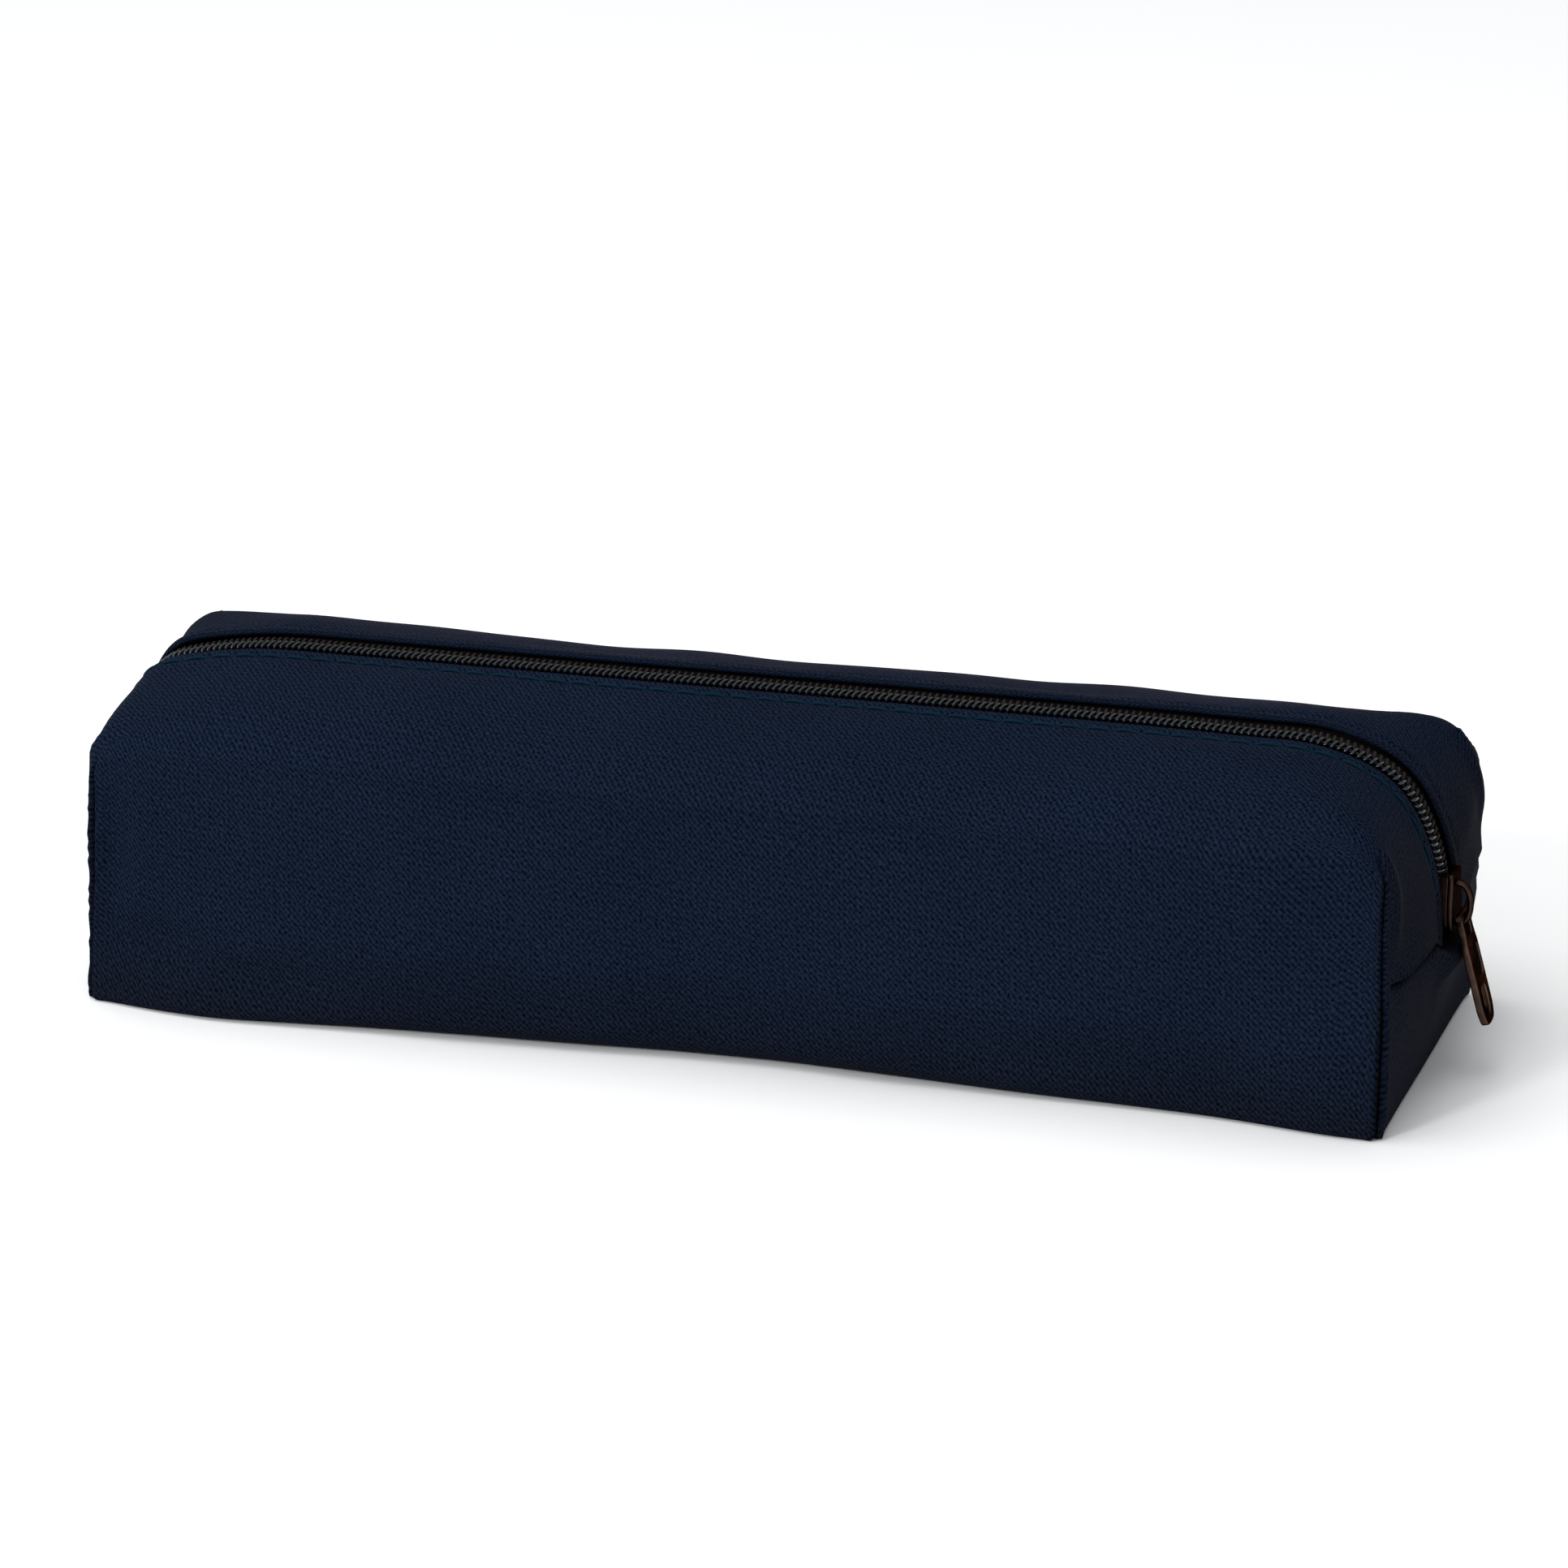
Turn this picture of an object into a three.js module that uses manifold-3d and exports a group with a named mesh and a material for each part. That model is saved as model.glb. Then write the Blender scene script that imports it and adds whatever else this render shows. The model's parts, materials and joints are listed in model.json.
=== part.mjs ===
// Boxy zipped pencil case: one wrap panel, a coil zip over the top and both
// ends, a metal slider with its puller, and the bindings sewn inside the seams.
// Millimetres. Origin at the centre of the base, +X along the case towards the
// closed end of the zip, +Y towards the back, +Z up.
import * as THREE from 'three';
import Module from 'manifold-3d';
import { mergeVertices } from 'three/addons/utils/BufferGeometryUtils.js';

const wasm = await Module();
wasm.setup();

// ---- driving dimensions ------------------------------------------------------
const HALF_LENGTH = 110;       // centre to a corner seam at the base
const HALF_DEPTH = 31;         // centre to a corner seam across the case
const HEIGHT = 54;             // base to the zip line
const CLOTH = 1.2;             // thickness of the padded wrap panel
const GAP = 0.3;               // clearance between sewn layers
const END_BULGE = 2;           // how far an end face crowns at its middle
const WALL_BULGE = 1.2;        // how far a long wall crowns at its middle
const SEAM_LEAN = 0.5;         // a corner seam's lean over its height
const TOP_DROP = 7;            // fall of the top from the zip line to a wall
const BASE_EDGE = 2.5;         // radius of the fold round the base
const ZIP_RADIUS = { right: 26, left: 14 };     // the zip's turn from the top down an end
const CORNER_RADIUS = { right: 7, left: 6 };    // the same turn beside a corner seam
const SHOULDER_RADIUS = 8;     // round edge between the top and a wall
const SEAM_RADIUS = 1;         // crisp edge along a corner seam
const SEAM_TOP = [40, 48];     // the heights between which a corner seam fades

const MOUTH_END = 22.5;        // height where the zip's opening ends on an end face
const MOUTH_HALF = 4.1;        // half the opening between the folded edges
const RIDGE = { rise: 2.8, z: 20, reach: 2.5, half: 9 };  // folded layers of the end seam

const CHAIN = { inner: 0.55, outer: 2.3, top: -0.3, bottom: 1.3, tooth: 4.52, notch: 0.4 };
const CORD_HOLE = { y0: 1.15, y1: 2.05, top: 0.1, bottom: 1.0 };
const TAPE = { inner: 0.8, outer: 13, top: CLOTH + GAP, thick: 0.6 };
const STITCH = { y: 6.6, half: 0.25, height: 0.35, pitch: 4.6 };

const SLIDER = {
  z: 28.4, half: 5.2, nose: 3.7, tail: 3.1, plate: 0.9,
  top: 0.55, under: -2.95, flange: -0.9, chainSide: 2.55, neck: 0.25,
};
const BAIL = { half: 0.9, low: -3.9, high: 3.6, crown: 4.1, wire: 0.85 };
const PIVOT = { t: -2.1, n: 2.4 };   // the puller's bar inside the bail
const PULLER = {
  lean: 14, length: 19.5, half: 3.2, head: 2.7, thick: 1.1, bar: 0.58,
  eyeHalf: 1.3, eyeEnd: 3.4, slotHalf: 1, slotFrom: 12.2, slotTo: 17, recess: 0.3,
};

// ---- materials ---------------------------------------------------------------
const cloth = new THREE.MeshStandardMaterial({ name: 'cloth', color: 0x172230, roughness: 0.9 });
const tapeCloth = new THREE.MeshStandardMaterial({ name: 'zip_tape', color: 0x15171b, roughness: 0.9 });
const nylon = new THREE.MeshStandardMaterial({ name: 'coil', color: 0x2a2a2c, roughness: 0.5 });
const thread = new THREE.MeshStandardMaterial({ name: 'thread', color: 0x1b2a3a, roughness: 0.7 });
const binding = new THREE.MeshStandardMaterial({ name: 'binding', color: 0x101318, roughness: 0.9 });
const metal = new THREE.MeshStandardMaterial({
  name: 'zip_metal', color: 0x3a3633, roughness: 0.35, metalness: 0.9,
});

const group = new THREE.Group();
group.name = 'pencil_case';

// ---- mesh helpers ------------------------------------------------------------
function meshFrom(points, triangles) {
  const geometry = new THREE.BufferGeometry();
  geometry.setAttribute('position', new THREE.Float32BufferAttribute(points.flat(), 3));
  geometry.setIndex(signedVolume(points, triangles) < 0 ? flipped(triangles) : triangles.flat());
  geometry.computeVertexNormals();
  return geometry;
}

function flipped(triangles) {
  return triangles.map(([a, b, c]) => [a, c, b]).flat();
}

function signedVolume(points, triangles) {
  let sum = 0;
  for (const [i, j, k] of triangles) {
    const [a, b, c] = [points[i], points[j], points[k]];
    sum += a[0] * (b[1] * c[2] - b[2] * c[1]);
    sum += a[1] * (b[2] * c[0] - b[0] * c[2]);
    sum += a[2] * (b[0] * c[1] - b[1] * c[0]);
  }
  return sum / 6;
}

function toManifold(geometry) {
  const bare = new THREE.BufferGeometry();
  bare.setAttribute('position', geometry.getAttribute('position').clone());
  if (geometry.index) bare.setIndex(geometry.index.clone());
  const welded = mergeVertices(bare, 1e-5);
  return new wasm.Manifold(new wasm.Mesh({
    numProp: 3,
    vertProperties: new Float32Array(welded.getAttribute('position').array),
    triVerts: new Uint32Array(welded.index.array),
  }));
}

function fromManifold(solid) {
  const { vertProperties, triVerts, numProp } = solid.getMesh();
  const points = [];
  for (let i = 0; i < vertProperties.length; i += numProp) {
    points.push([vertProperties[i], vertProperties[i + 1], vertProperties[i + 2]]);
  }
  const triangles = [];
  for (let i = 0; i < triVerts.length; i += 3) {
    triangles.push([triVerts[i], triVerts[i + 1], triVerts[i + 2]]);
  }
  return meshFrom(points, triangles);
}

function add(name, geometry, material) {
  const mesh = new THREE.Mesh(geometry, material);
  mesh.name = name;
  group.add(mesh);
}

// A bar through a list of equal rings of points, closed by a fan at each end.
function sweep(rings) {
  const n = rings[0].length;
  const points = rings.flat();
  const triangles = ringWalls(rings.length, n, 0, false);
  const last = (rings.length - 1) * n;
  for (let j = 1; j < n - 1; j++) {
    triangles.push([0, j + 1, j]);
    triangles.push([last, last + j, last + j + 1]);
  }
  return meshFrom(points, triangles);
}

// A bar with a hole along it: outer and inner rings have the same point count.
function hollowSweep(outer, inner) {
  const n = outer[0].length;
  const count = outer.length;
  const base = count * n;
  const points = [...outer.flat(), ...inner.flat()];
  const triangles = ringWalls(count, n, 0, false).concat(ringWalls(count, n, base, true));
  const last = (count - 1) * n;
  for (let j = 0; j < n; j++) {
    const k = (j + 1) % n;
    triangles.push([j, base + k, k], [j, base + j, base + k]);
    triangles.push([last + j, last + k, base + last + k]);
    triangles.push([last + j, base + last + k, base + last + j]);
  }
  return meshFrom(points, triangles);
}

function ringWalls(count, n, base, inward) {
  const triangles = [];
  for (let i = 0; i < count - 1; i++) {
    for (let j = 0; j < n; j++) {
      const k = (j + 1) % n;
      const [a, b] = [base + i * n + j, base + i * n + k];
      const [c, d] = [a + n, b + n];
      if (inward) triangles.push([a, d, b], [a, c, d]);
      else triangles.push([a, b, d], [a, d, c]);
    }
  }
  return triangles;
}

// ---- the case's outer form ---------------------------------------------------
const clamp = (v, lo, hi) => Math.min(hi, Math.max(lo, v));
const smooth = (v, lo, hi) => {
  const t = clamp((v - lo) / (hi - lo), 0, 1);
  return t * t * (3 - 2 * t);
};

// The overlap of two half spaces with a round edge of radius r between them.
function roundEdge(a, b, r) {
  const [u, v] = [Math.max(a + r, 0), Math.max(b + r, 0)];
  return Math.min(Math.max(a, b), -r) + Math.hypot(u, v);
}

function ridgeAt(y, z) {
  const up = Math.abs(z - RIDGE.z) / RIDGE.reach;
  const side = Math.abs(y) / RIDGE.half;
  if (up >= 1 || side >= 1) return 0;
  return RIDGE.rise * Math.cos(up * Math.PI / 2) ** 2 * (1 - side * side) ** 2;
}

function endReach(y, z) {
  const side = Math.min(Math.abs(y) / HALF_DEPTH, 1) ** 2;
  const crown = END_BULGE * Math.sin(Math.PI / 2 * clamp(z / MOUTH_END, 0, 1)) * (1 - side);
  return HALF_LENGTH + crown - SEAM_LEAN * side * clamp(z / SEAM_TOP[0], 0, 1) + ridgeAt(y, z);
}

function wallReach(x, z) {
  const along = 1 - Math.min(Math.abs(x) / HALF_LENGTH, 1) ** 2;
  return HALF_DEPTH + WALL_BULGE * along * Math.sin(Math.PI * clamp(z / SEAM_TOP[0], 0, 1));
}

const endOf = (x) => (x < 0 ? 'left' : 'right');

// Signed distance to the case's outer face: negative inside.
function outerForm(x, y, z) {
  const side = Math.min(Math.abs(y) / HALF_DEPTH, 1) ** 2;
  const [middle, corner] = [ZIP_RADIUS[endOf(x)], CORNER_RADIUS[endOf(x)]];
  const turn = middle - (middle - corner) * side;
  const lengthwise = roundEdge(Math.abs(x) - endReach(y, z), z - HEIGHT + TOP_DROP * side, turn);
  const edge = SEAM_RADIUS + (SHOULDER_RADIUS - SEAM_RADIUS) * smooth(z, ...SEAM_TOP);
  return roundEdge(roundEdge(lengthwise, Math.abs(y) - wallReach(x, z), edge), -z, BASE_EDGE);
}

function outwardNormal([x, y, z]) {
  const h = 0.02;
  const g = [
    outerForm(x + h, y, z) - outerForm(x - h, y, z),
    outerForm(x, y + h, z) - outerForm(x, y - h, z),
    outerForm(x, y, z + h) - outerForm(x, y, z - h),
  ];
  const size = Math.hypot(...g);
  return g.map((v) => v / size);
}

// The distance along a ray at which the outer form reaches a level.
function reachAlong(start, direction, level, far) {
  let [lo, hi] = [0, far];
  for (let i = 0; i < 40; i++) {
    const mid = (lo + hi) / 2;
    const at = start.map((v, k) => v + direction[k] * mid);
    if (outerForm(...at) < level) lo = mid;
    else hi = mid;
  }
  return (lo + hi) / 2;
}

// Grid lines: even steps between knots, and fanned steps round a turn.
function lines(from, to, steps) {
  return Array.from({ length: steps }, (_, i) => from + (to - from) * i / steps);
}

function fan(from, size, steps) {
  return Array.from({ length: steps }, (_, i) => from + size * Math.tan(Math.PI / 4 * i / steps));
}

const mirrored = (half) => [...half.slice(1).map((v) => -v).reverse(), ...half];
const CORE = { x: 84, y: 19, z0: 4, z1: 28 };
const gridX = mirrored([...lines(0, CORE.x, 5), ...fan(CORE.x, HALF_LENGTH - CORE.x, 6), HALF_LENGTH]);
const gridY = mirrored([0, 4.5, 9, 14, ...fan(CORE.y, HALF_DEPTH - CORE.y, 4), HALF_DEPTH]);
const gridZ = [
  0, 1.1, 2.3, ...lines(CORE.z0, 17.5, 3), 17.5, 18.8, 20, 21.2, MOUTH_END,
  ...fan(CORE.z1, HEIGHT - CORE.z1, 6), HEIGHT,
];

// Every grid point of the box's six faces, pushed onto the outer form.
function gridPoint(i, j, k) {
  const [gy, gz] = [gridY[j], gridZ[k]];
  const gx = gridX[i] * endReach(gy, gz) / HALF_LENGTH;
  const core = [clamp(gx, -CORE.x, CORE.x), clamp(gy, -CORE.y, CORE.y), clamp(gz, CORE.z0, CORE.z1)];
  const target = [gx, gy * wallReach(gx, gz) / HALF_DEPTH, gz];
  const ray = target.map((v, n) => v - core[n]);
  const size = Math.hypot(...ray);
  const direction = ray.map((v) => v / size);
  const reach = reachAlong(core, direction, 0, size + 6);
  return core.map((v, n) => v + direction[n] * reach);
}

function caseSkin() {
  const index = new Map();
  const points = [];
  const triangles = [];
  const [ni, nj, nk] = [gridX.length - 1, gridY.length - 1, gridZ.length - 1];
  const vertex = (i, j, k) => {
    const key = `${i},${j},${k}`;
    if (!index.has(key)) {
      index.set(key, points.length);
      points.push(gridPoint(i, j, k));
    }
    return index.get(key);
  };
  const quad = (a, b, c, d) => triangles.push([a, b, c], [a, c, d]);
  for (let i = 0; i < ni; i++) {
    for (let j = 0; j < nj; j++) {
      quad(vertex(i, j, nk), vertex(i + 1, j, nk), vertex(i + 1, j + 1, nk), vertex(i, j + 1, nk));
      quad(vertex(i, j, 0), vertex(i, j + 1, 0), vertex(i + 1, j + 1, 0), vertex(i + 1, j, 0));
    }
    for (let k = 0; k < nk; k++) {
      quad(vertex(i, 0, k), vertex(i + 1, 0, k), vertex(i + 1, 0, k + 1), vertex(i, 0, k + 1));
      quad(vertex(i, nj, k), vertex(i, nj, k + 1), vertex(i + 1, nj, k + 1), vertex(i + 1, nj, k));
    }
  }
  for (let j = 0; j < nj; j++) {
    for (let k = 0; k < nk; k++) {
      quad(vertex(ni, j, k), vertex(ni, j + 1, k), vertex(ni, j + 1, k + 1), vertex(ni, j, k + 1));
      quad(vertex(0, j, k), vertex(0, j, k + 1), vertex(0, j + 1, k + 1), vertex(0, j + 1, k));
    }
  }
  return { points, triangles };
}

// ---- the zip's path ----------------------------------------------------------
function turnAt(end) {
  const radius = ZIP_RADIUS[end];
  const topRun = HALF_LENGTH + END_BULGE - radius;
  const centreZ = HEIGHT - radius;
  const arc = radius * Math.PI / 2;
  return { radius, topRun, centreZ, arc, pathEnd: topRun + arc + centreZ - MOUTH_END - GAP };
}

const TURN = { right: turnAt('right'), left: turnAt('left') };

// The foot of the outward ray for a place along the zip, and the ray's direction.
function zipRay(s) {
  const { radius, topRun, centreZ, arc } = TURN[endOf(s)];
  const [side, run] = [Math.sign(s) || 1, Math.abs(s)];
  if (run <= topRun) return { foot: [s, centreZ], out: [0, 1] };
  if (run <= topRun + arc) {
    const angle = (run - topRun) / radius;
    return { foot: [side * topRun, centreZ], out: [side * Math.sin(angle), Math.cos(angle)] };
  }
  return { foot: [side * topRun, centreZ + topRun + arc - run], out: [side, 0] };
}

// The point beside the zip line at distance y from it, a depth below the outer face.
function besideZip(s, y, depth) {
  const { foot, out } = zipRay(s);
  const start = [foot[0], y, foot[1]];
  const direction = [out[0], 0, out[1]];
  const reach = reachAlong(start, direction, 0, ZIP_RADIUS.right + 12) - depth;
  return start.map((v, k) => v + direction[k] * reach);
}

function sectionAt(s, corners) {
  return corners.map(([y, depth]) => besideZip(s, y, depth));
}

const rectangle = (y0, y1, top, bottom) => [[y0, top], [y1, top], [y1, bottom], [y0, bottom]];

// Places along the zip: long steps on the flat runs and short ones round the turns.
function pathStations() {
  const run = ({ topRun, arc, pathEnd }) => [
    ...lines(0, topRun, 6), ...lines(topRun, topRun + arc, 10), topRun + arc, pathEnd,
  ];
  return [...run(TURN.left).slice(1).map((s) => -s).reverse(), ...run(TURN.right)];
}

function evenStations(step) {
  const [first, last] = [-TURN.left.pathEnd, TURN.right.pathEnd];
  const count = 2 * Math.round((last - first) / (2 * step));
  return Array.from({ length: count + 1 }, (_, i) => first + (last - first) * i / count);
}

// ---- wrap panel --------------------------------------------------------------
function mouthCutter() {
  const outer = pathStations().map((s) => besideZip(s, 0, -4));
  const inner = pathStations().map((s) => besideZip(s, 0, CLOTH + 2));
  const trim = (p) => [p[0], Math.max(p[2], MOUTH_END)];
  const outline = [...outer.map(trim), ...inner.map(trim).reverse()];
  const shape = new THREE.Shape(outline.map(([x, z]) => new THREE.Vector2(x, z)));
  const prism = new THREE.ExtrudeGeometry(shape, { depth: 2 * MOUTH_HALF, bevelEnabled: false });
  prism.rotateX(Math.PI / 2);
  prism.translate(0, MOUTH_HALF, 0);
  return prism;
}

function wrapPanel() {
  const { points, triangles } = caseSkin();
  const lining = points.map((p) => {
    const normal = outwardNormal(p);
    return p.map((v, k) => v - CLOTH * normal[k]);
  });
  const outside = toManifold(meshFrom(points, triangles));
  const inside = toManifold(meshFrom(lining, triangles));
  return fromManifold(outside.subtract(inside).subtract(toManifold(mouthCutter())));
}

// ---- zip: tapes, coils, filler cords and topstitching ---------------------------
function zipTape(side) {
  const widths = [TAPE.inner, MOUTH_HALF, 8.5, TAPE.outer];
  const bottom = TAPE.top + TAPE.thick;
  const corners = [
    ...widths.map((y) => [side * y, TAPE.top]),
    ...[...widths].reverse().map((y) => [side * y, bottom]),
  ];
  return sweep(pathStations().map((s) => sectionAt(s, corners)));
}

// One row of the coil: tooth tips and notches alternate along its inner edge.
function coilRow(side) {
  const stations = evenStations(CHAIN.tooth / 2);
  const outer = stations.map((s, i) => {
    const notch = i % 2 ? CHAIN.notch : 0;
    const tip = CHAIN.inner + notch;
    const top = CHAIN.top + notch / 2;
    return sectionAt(s, rectangle(side * tip, side * CHAIN.outer, top, CHAIN.bottom));
  });
  const { y0, y1, top, bottom } = CORD_HOLE;
  const inner = stations.map((s) => sectionAt(s, rectangle(side * y0, side * y1, top, bottom)));
  return hollowSweep(outer, inner);
}

function fillerCord(side) {
  const { y0, y1, top, bottom } = CORD_HOLE;
  const section = rectangle(side * (y0 + GAP), side * (y1 - GAP), top + GAP, bottom - GAP);
  return sweep(pathStations().map((s) => sectionAt(s, section)));
}

// A row of stitches lying on the cloth: each stitch is highest at its middle.
function topStitch(side) {
  const { y, half, height, pitch } = STITCH;
  return sweep(evenStations(pitch / 2).map((s, i) => {
    const rise = i % 2 ? height : height / 3;
    return sectionAt(s, rectangle(side * y - half, side * y + half, -GAP - rise, -GAP));
  }));
}

// ---- seams: bindings and their threads inside the case --------------------------
// A straight bar between two heights or depths, from its section at each end.
function bar(first, last) {
  return sweep([first, last]);
}

const FIN = { from: 3, to: 8.5, half: 0.7, z0: 3.6, z1: 35.5, thread: 4, wire: 0.4 };

// A rectangle in a corner's own directions: inward along the diagonal, then across it.
function cornerSection(sx, sy, z, span, across) {
  const corner = [sx * endReach(HALF_DEPTH, z), sy * HALF_DEPTH];
  const unit = Math.SQRT1_2;
  return [[0, 0], [1, 0], [1, 1], [0, 1]].map(([i, j]) => {
    const [inward, side] = [span[i], across[j]];
    const x = corner[0] - sx * unit * inward + sx * unit * side;
    const y = corner[1] - sy * unit * inward - sy * unit * side;
    return [x, y, z];
  });
}

function cornerBinding(sx, sy) {
  const at = (z) => cornerSection(sx, sy, z, [FIN.from, FIN.to], [-FIN.half, FIN.half]);
  return bar(at(FIN.z0), at(FIN.z1));
}

function cornerThread(sx, sy) {
  const face = FIN.half + GAP;
  const at = (z) => cornerSection(
    sx, sy, z, [FIN.thread, FIN.thread + FIN.wire], [face, face + FIN.wire],
  );
  return bar(at(FIN.z0), at(FIN.z1));
}

const END_FIN = { x0: 103.2, x1: 109.2, half: 20, z0: 20.7, z1: 22.1, thread: 106 };

function endBar(sx, [x0, x1], [z0, z1]) {
  const at = (y) => [[sx * x0, y, z0], [sx * x1, y, z0], [sx * x1, y, z1], [sx * x0, y, z1]];
  return bar(at(-END_FIN.half), at(END_FIN.half));
}

function endBinding(sx) {
  return endBar(sx, [END_FIN.x0, END_FIN.x1], [END_FIN.z0, END_FIN.z1]);
}

function endThread(sx) {
  const top = END_FIN.z0 - GAP;
  return endBar(sx, [END_FIN.thread, END_FIN.thread + FIN.wire], [top - FIN.wire, top]);
}

// ---- slider and puller -------------------------------------------------------
// An outline in (y, t) made into a plate between two distances n from the zip line:
// t runs up along the zip, n points away from the end face.
function plate(outline, n0, n1) {
  const shape = new THREE.Shape(outline.map(([y, t]) => new THREE.Vector2(y, t)));
  const solid = new THREE.ExtrudeGeometry(shape, { depth: n1 - n0, bevelEnabled: false });
  solid.translate(0, 0, n0);
  solid.rotateX(Math.PI / 2);
  solid.rotateZ(Math.PI / 2);
  return toManifold(solid);
}

// An outline in (t, n) made into a web of a given half width across the zip.
function web(outline, half) {
  const shape = new THREE.Shape(outline.map(([t, n]) => new THREE.Vector2(n, t)));
  const solid = new THREE.ExtrudeGeometry(shape, { depth: 2 * half, bevelEnabled: false });
  solid.rotateX(Math.PI / 2);
  solid.translate(0, half, 0);
  return toManifold(solid);
}

function sliderOutline() {
  const { half, nose, tail } = SLIDER;
  const right = [[2.2, -half], [nose, -half + 1.6], [nose, 0.5], [tail, 3.4], [tail, half]];
  return [...right, ...right.map(([y, t]) => [-y, t]).reverse()];
}

function flangeOutline(side) {
  const { half, nose, tail, chainSide } = SLIDER;
  const points = [
    [nose - 0.7, -half + 1.6], [nose, -half + 1.6], [nose, 0.5], [tail, 3.4], [tail, half],
    [chainSide, half], [chainSide, 3.4], [nose - 0.7, 0.5],
  ];
  return side > 0 ? points : points.map(([y, t]) => [-y, t]).reverse();
}

function bailOutline() {
  const { low, high, crown, wire } = BAIL;
  const foot = SLIDER.top + SLIDER.plate - 0.2;
  return [
    [low, foot], [low, crown - 0.9], [low + 0.8, crown], [high - 0.8, crown], [high, crown - 0.9],
    [high, foot], [high - wire, foot], [high - wire, crown - 1.1], [high - wire - 0.3, crown - wire],
    [low + wire + 0.3, crown - wire], [low + wire, crown - 1.1], [low + wire, foot],
  ];
}

function zipSlider() {
  const { half, plate: thick, top, under, flange, neck } = SLIDER;
  const neckOutline = [[-neck, -half + 0.3], [neck, -half + 0.3], [neck, -1.2], [-neck, -1.2]];
  const solid = plate(sliderOutline(), top, top + thick)
    .add(plate(sliderOutline(), under - thick, under))
    .add(plate(flangeOutline(1), flange, top + 0.2))
    .add(plate(flangeOutline(-1), flange, top + 0.2))
    .add(plate(neckOutline, under - 0.2, top + 0.2))
    .add(web(bailOutline(), BAIL.half));
  const geometry = fromManifold(solid);
  geometry.translate(HALF_LENGTH + END_BULGE, 0, SLIDER.z);
  return geometry;
}

// The puller's outline in (y, t), hanging from its bar at the origin.
function pullerOutline() {
  const { length, half, head } = PULLER;
  const right = [
    [head, 0], [head, -3], [half, -4.6], [half, -length + 2.6], [half - 0.7, -length + 0.9],
    [half - 2, -length + 0.1], [0.6, -length],
  ];
  return [...right, ...right.map(([y, t]) => [-y, t]).reverse()].reverse();
}

function slotOutline(halfWidth, from, to) {
  const points = [];
  for (let i = 0; i <= 6; i++) {
    const angle = Math.PI * i / 6;
    points.push([halfWidth * Math.cos(angle), -from - halfWidth + halfWidth * Math.sin(angle)]);
  }
  return [...points, ...points.map(([y, t]) => [-y, -from - to - t])];
}

const boxOutline = (half, from, to) => [[half, -from], [-half, -from], [-half, -to], [half, -to]];

function puller() {
  const { thick, bar: radius, head, eyeHalf, eyeEnd, slotHalf, slotFrom, slotTo, recess } = PULLER;
  const roll = new THREE.CylinderGeometry(radius, radius, 2 * head, 16);
  const face = thick / 2;
  const solid = plate(pullerOutline(), -face, face)
    .subtract(plate(boxOutline(eyeHalf, -1, eyeEnd), -2, 2))
    .add(toManifold(roll))
    .subtract(plate(slotOutline(slotHalf, slotFrom, slotTo), -2, 2))
    .subtract(plate(boxOutline(2.3, eyeEnd + 2.2, slotFrom - 1), face - recess, 2))
    .subtract(plate(boxOutline(2.3, eyeEnd + 2.2, slotFrom - 1), -2, recess - face));
  const geometry = fromManifold(solid);
  geometry.rotateY(-PULLER.lean * Math.PI / 180);
  geometry.translate(HALF_LENGTH + END_BULGE + PIVOT.n, 0, SLIDER.z + PIVOT.t);
  return geometry;
}

// ---- assembly ----------------------------------------------------------------
add('wrap_panel', wrapPanel(), cloth);
for (const [side, word] of [[-1, 'front'], [1, 'back']]) {
  add(`${word}_zip_tape`, zipTape(side), tapeCloth);
  add(`${word}_coil`, coilRow(side), nylon);
  add(`${word}_coil_cord`, fillerCord(side), thread);
  add(`${word}_topstitch`, topStitch(side), thread);
}
for (const [sx, end] of [[1, 'right'], [-1, 'left']]) {
  add(`${end}_end_binding`, endBinding(sx), binding);
  add(`${end}_end_thread`, endThread(sx), thread);
  for (const [sy, word] of [[-1, 'front'], [1, 'back']]) {
    add(`${end}_${word}_binding`, cornerBinding(sx, sy), binding);
    add(`${end}_${word}_thread`, cornerThread(sx, sy), thread);
  }
}
add('zip_slider', zipSlider(), metal);
add('puller', puller(), metal);

export default group;
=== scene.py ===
# Boxy navy pencil case: the looks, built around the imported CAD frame.
# Lengths are millimetres until a mesh is made, and metres in Blender.
import json
import math

import bpy
import numpy as np
from mathutils import Matrix, Vector

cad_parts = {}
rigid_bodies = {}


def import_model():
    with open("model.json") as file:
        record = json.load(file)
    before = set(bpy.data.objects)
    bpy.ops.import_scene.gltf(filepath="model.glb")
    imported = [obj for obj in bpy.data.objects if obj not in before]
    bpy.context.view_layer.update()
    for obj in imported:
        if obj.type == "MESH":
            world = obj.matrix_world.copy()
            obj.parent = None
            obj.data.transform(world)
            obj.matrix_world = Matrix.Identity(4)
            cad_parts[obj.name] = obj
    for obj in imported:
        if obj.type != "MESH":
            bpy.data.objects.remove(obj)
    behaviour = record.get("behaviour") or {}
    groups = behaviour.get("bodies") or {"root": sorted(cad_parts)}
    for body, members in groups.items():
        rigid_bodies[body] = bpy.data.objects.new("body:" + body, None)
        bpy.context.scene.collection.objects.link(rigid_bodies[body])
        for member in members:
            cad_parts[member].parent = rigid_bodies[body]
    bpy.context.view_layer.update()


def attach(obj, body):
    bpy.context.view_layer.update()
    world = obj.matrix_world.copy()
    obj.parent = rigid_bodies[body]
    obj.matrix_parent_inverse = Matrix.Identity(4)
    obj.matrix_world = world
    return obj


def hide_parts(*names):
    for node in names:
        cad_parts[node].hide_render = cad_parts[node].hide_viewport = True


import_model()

MM = 0.001
ACROSS = np.array([0, 1.0, 0])

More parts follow.
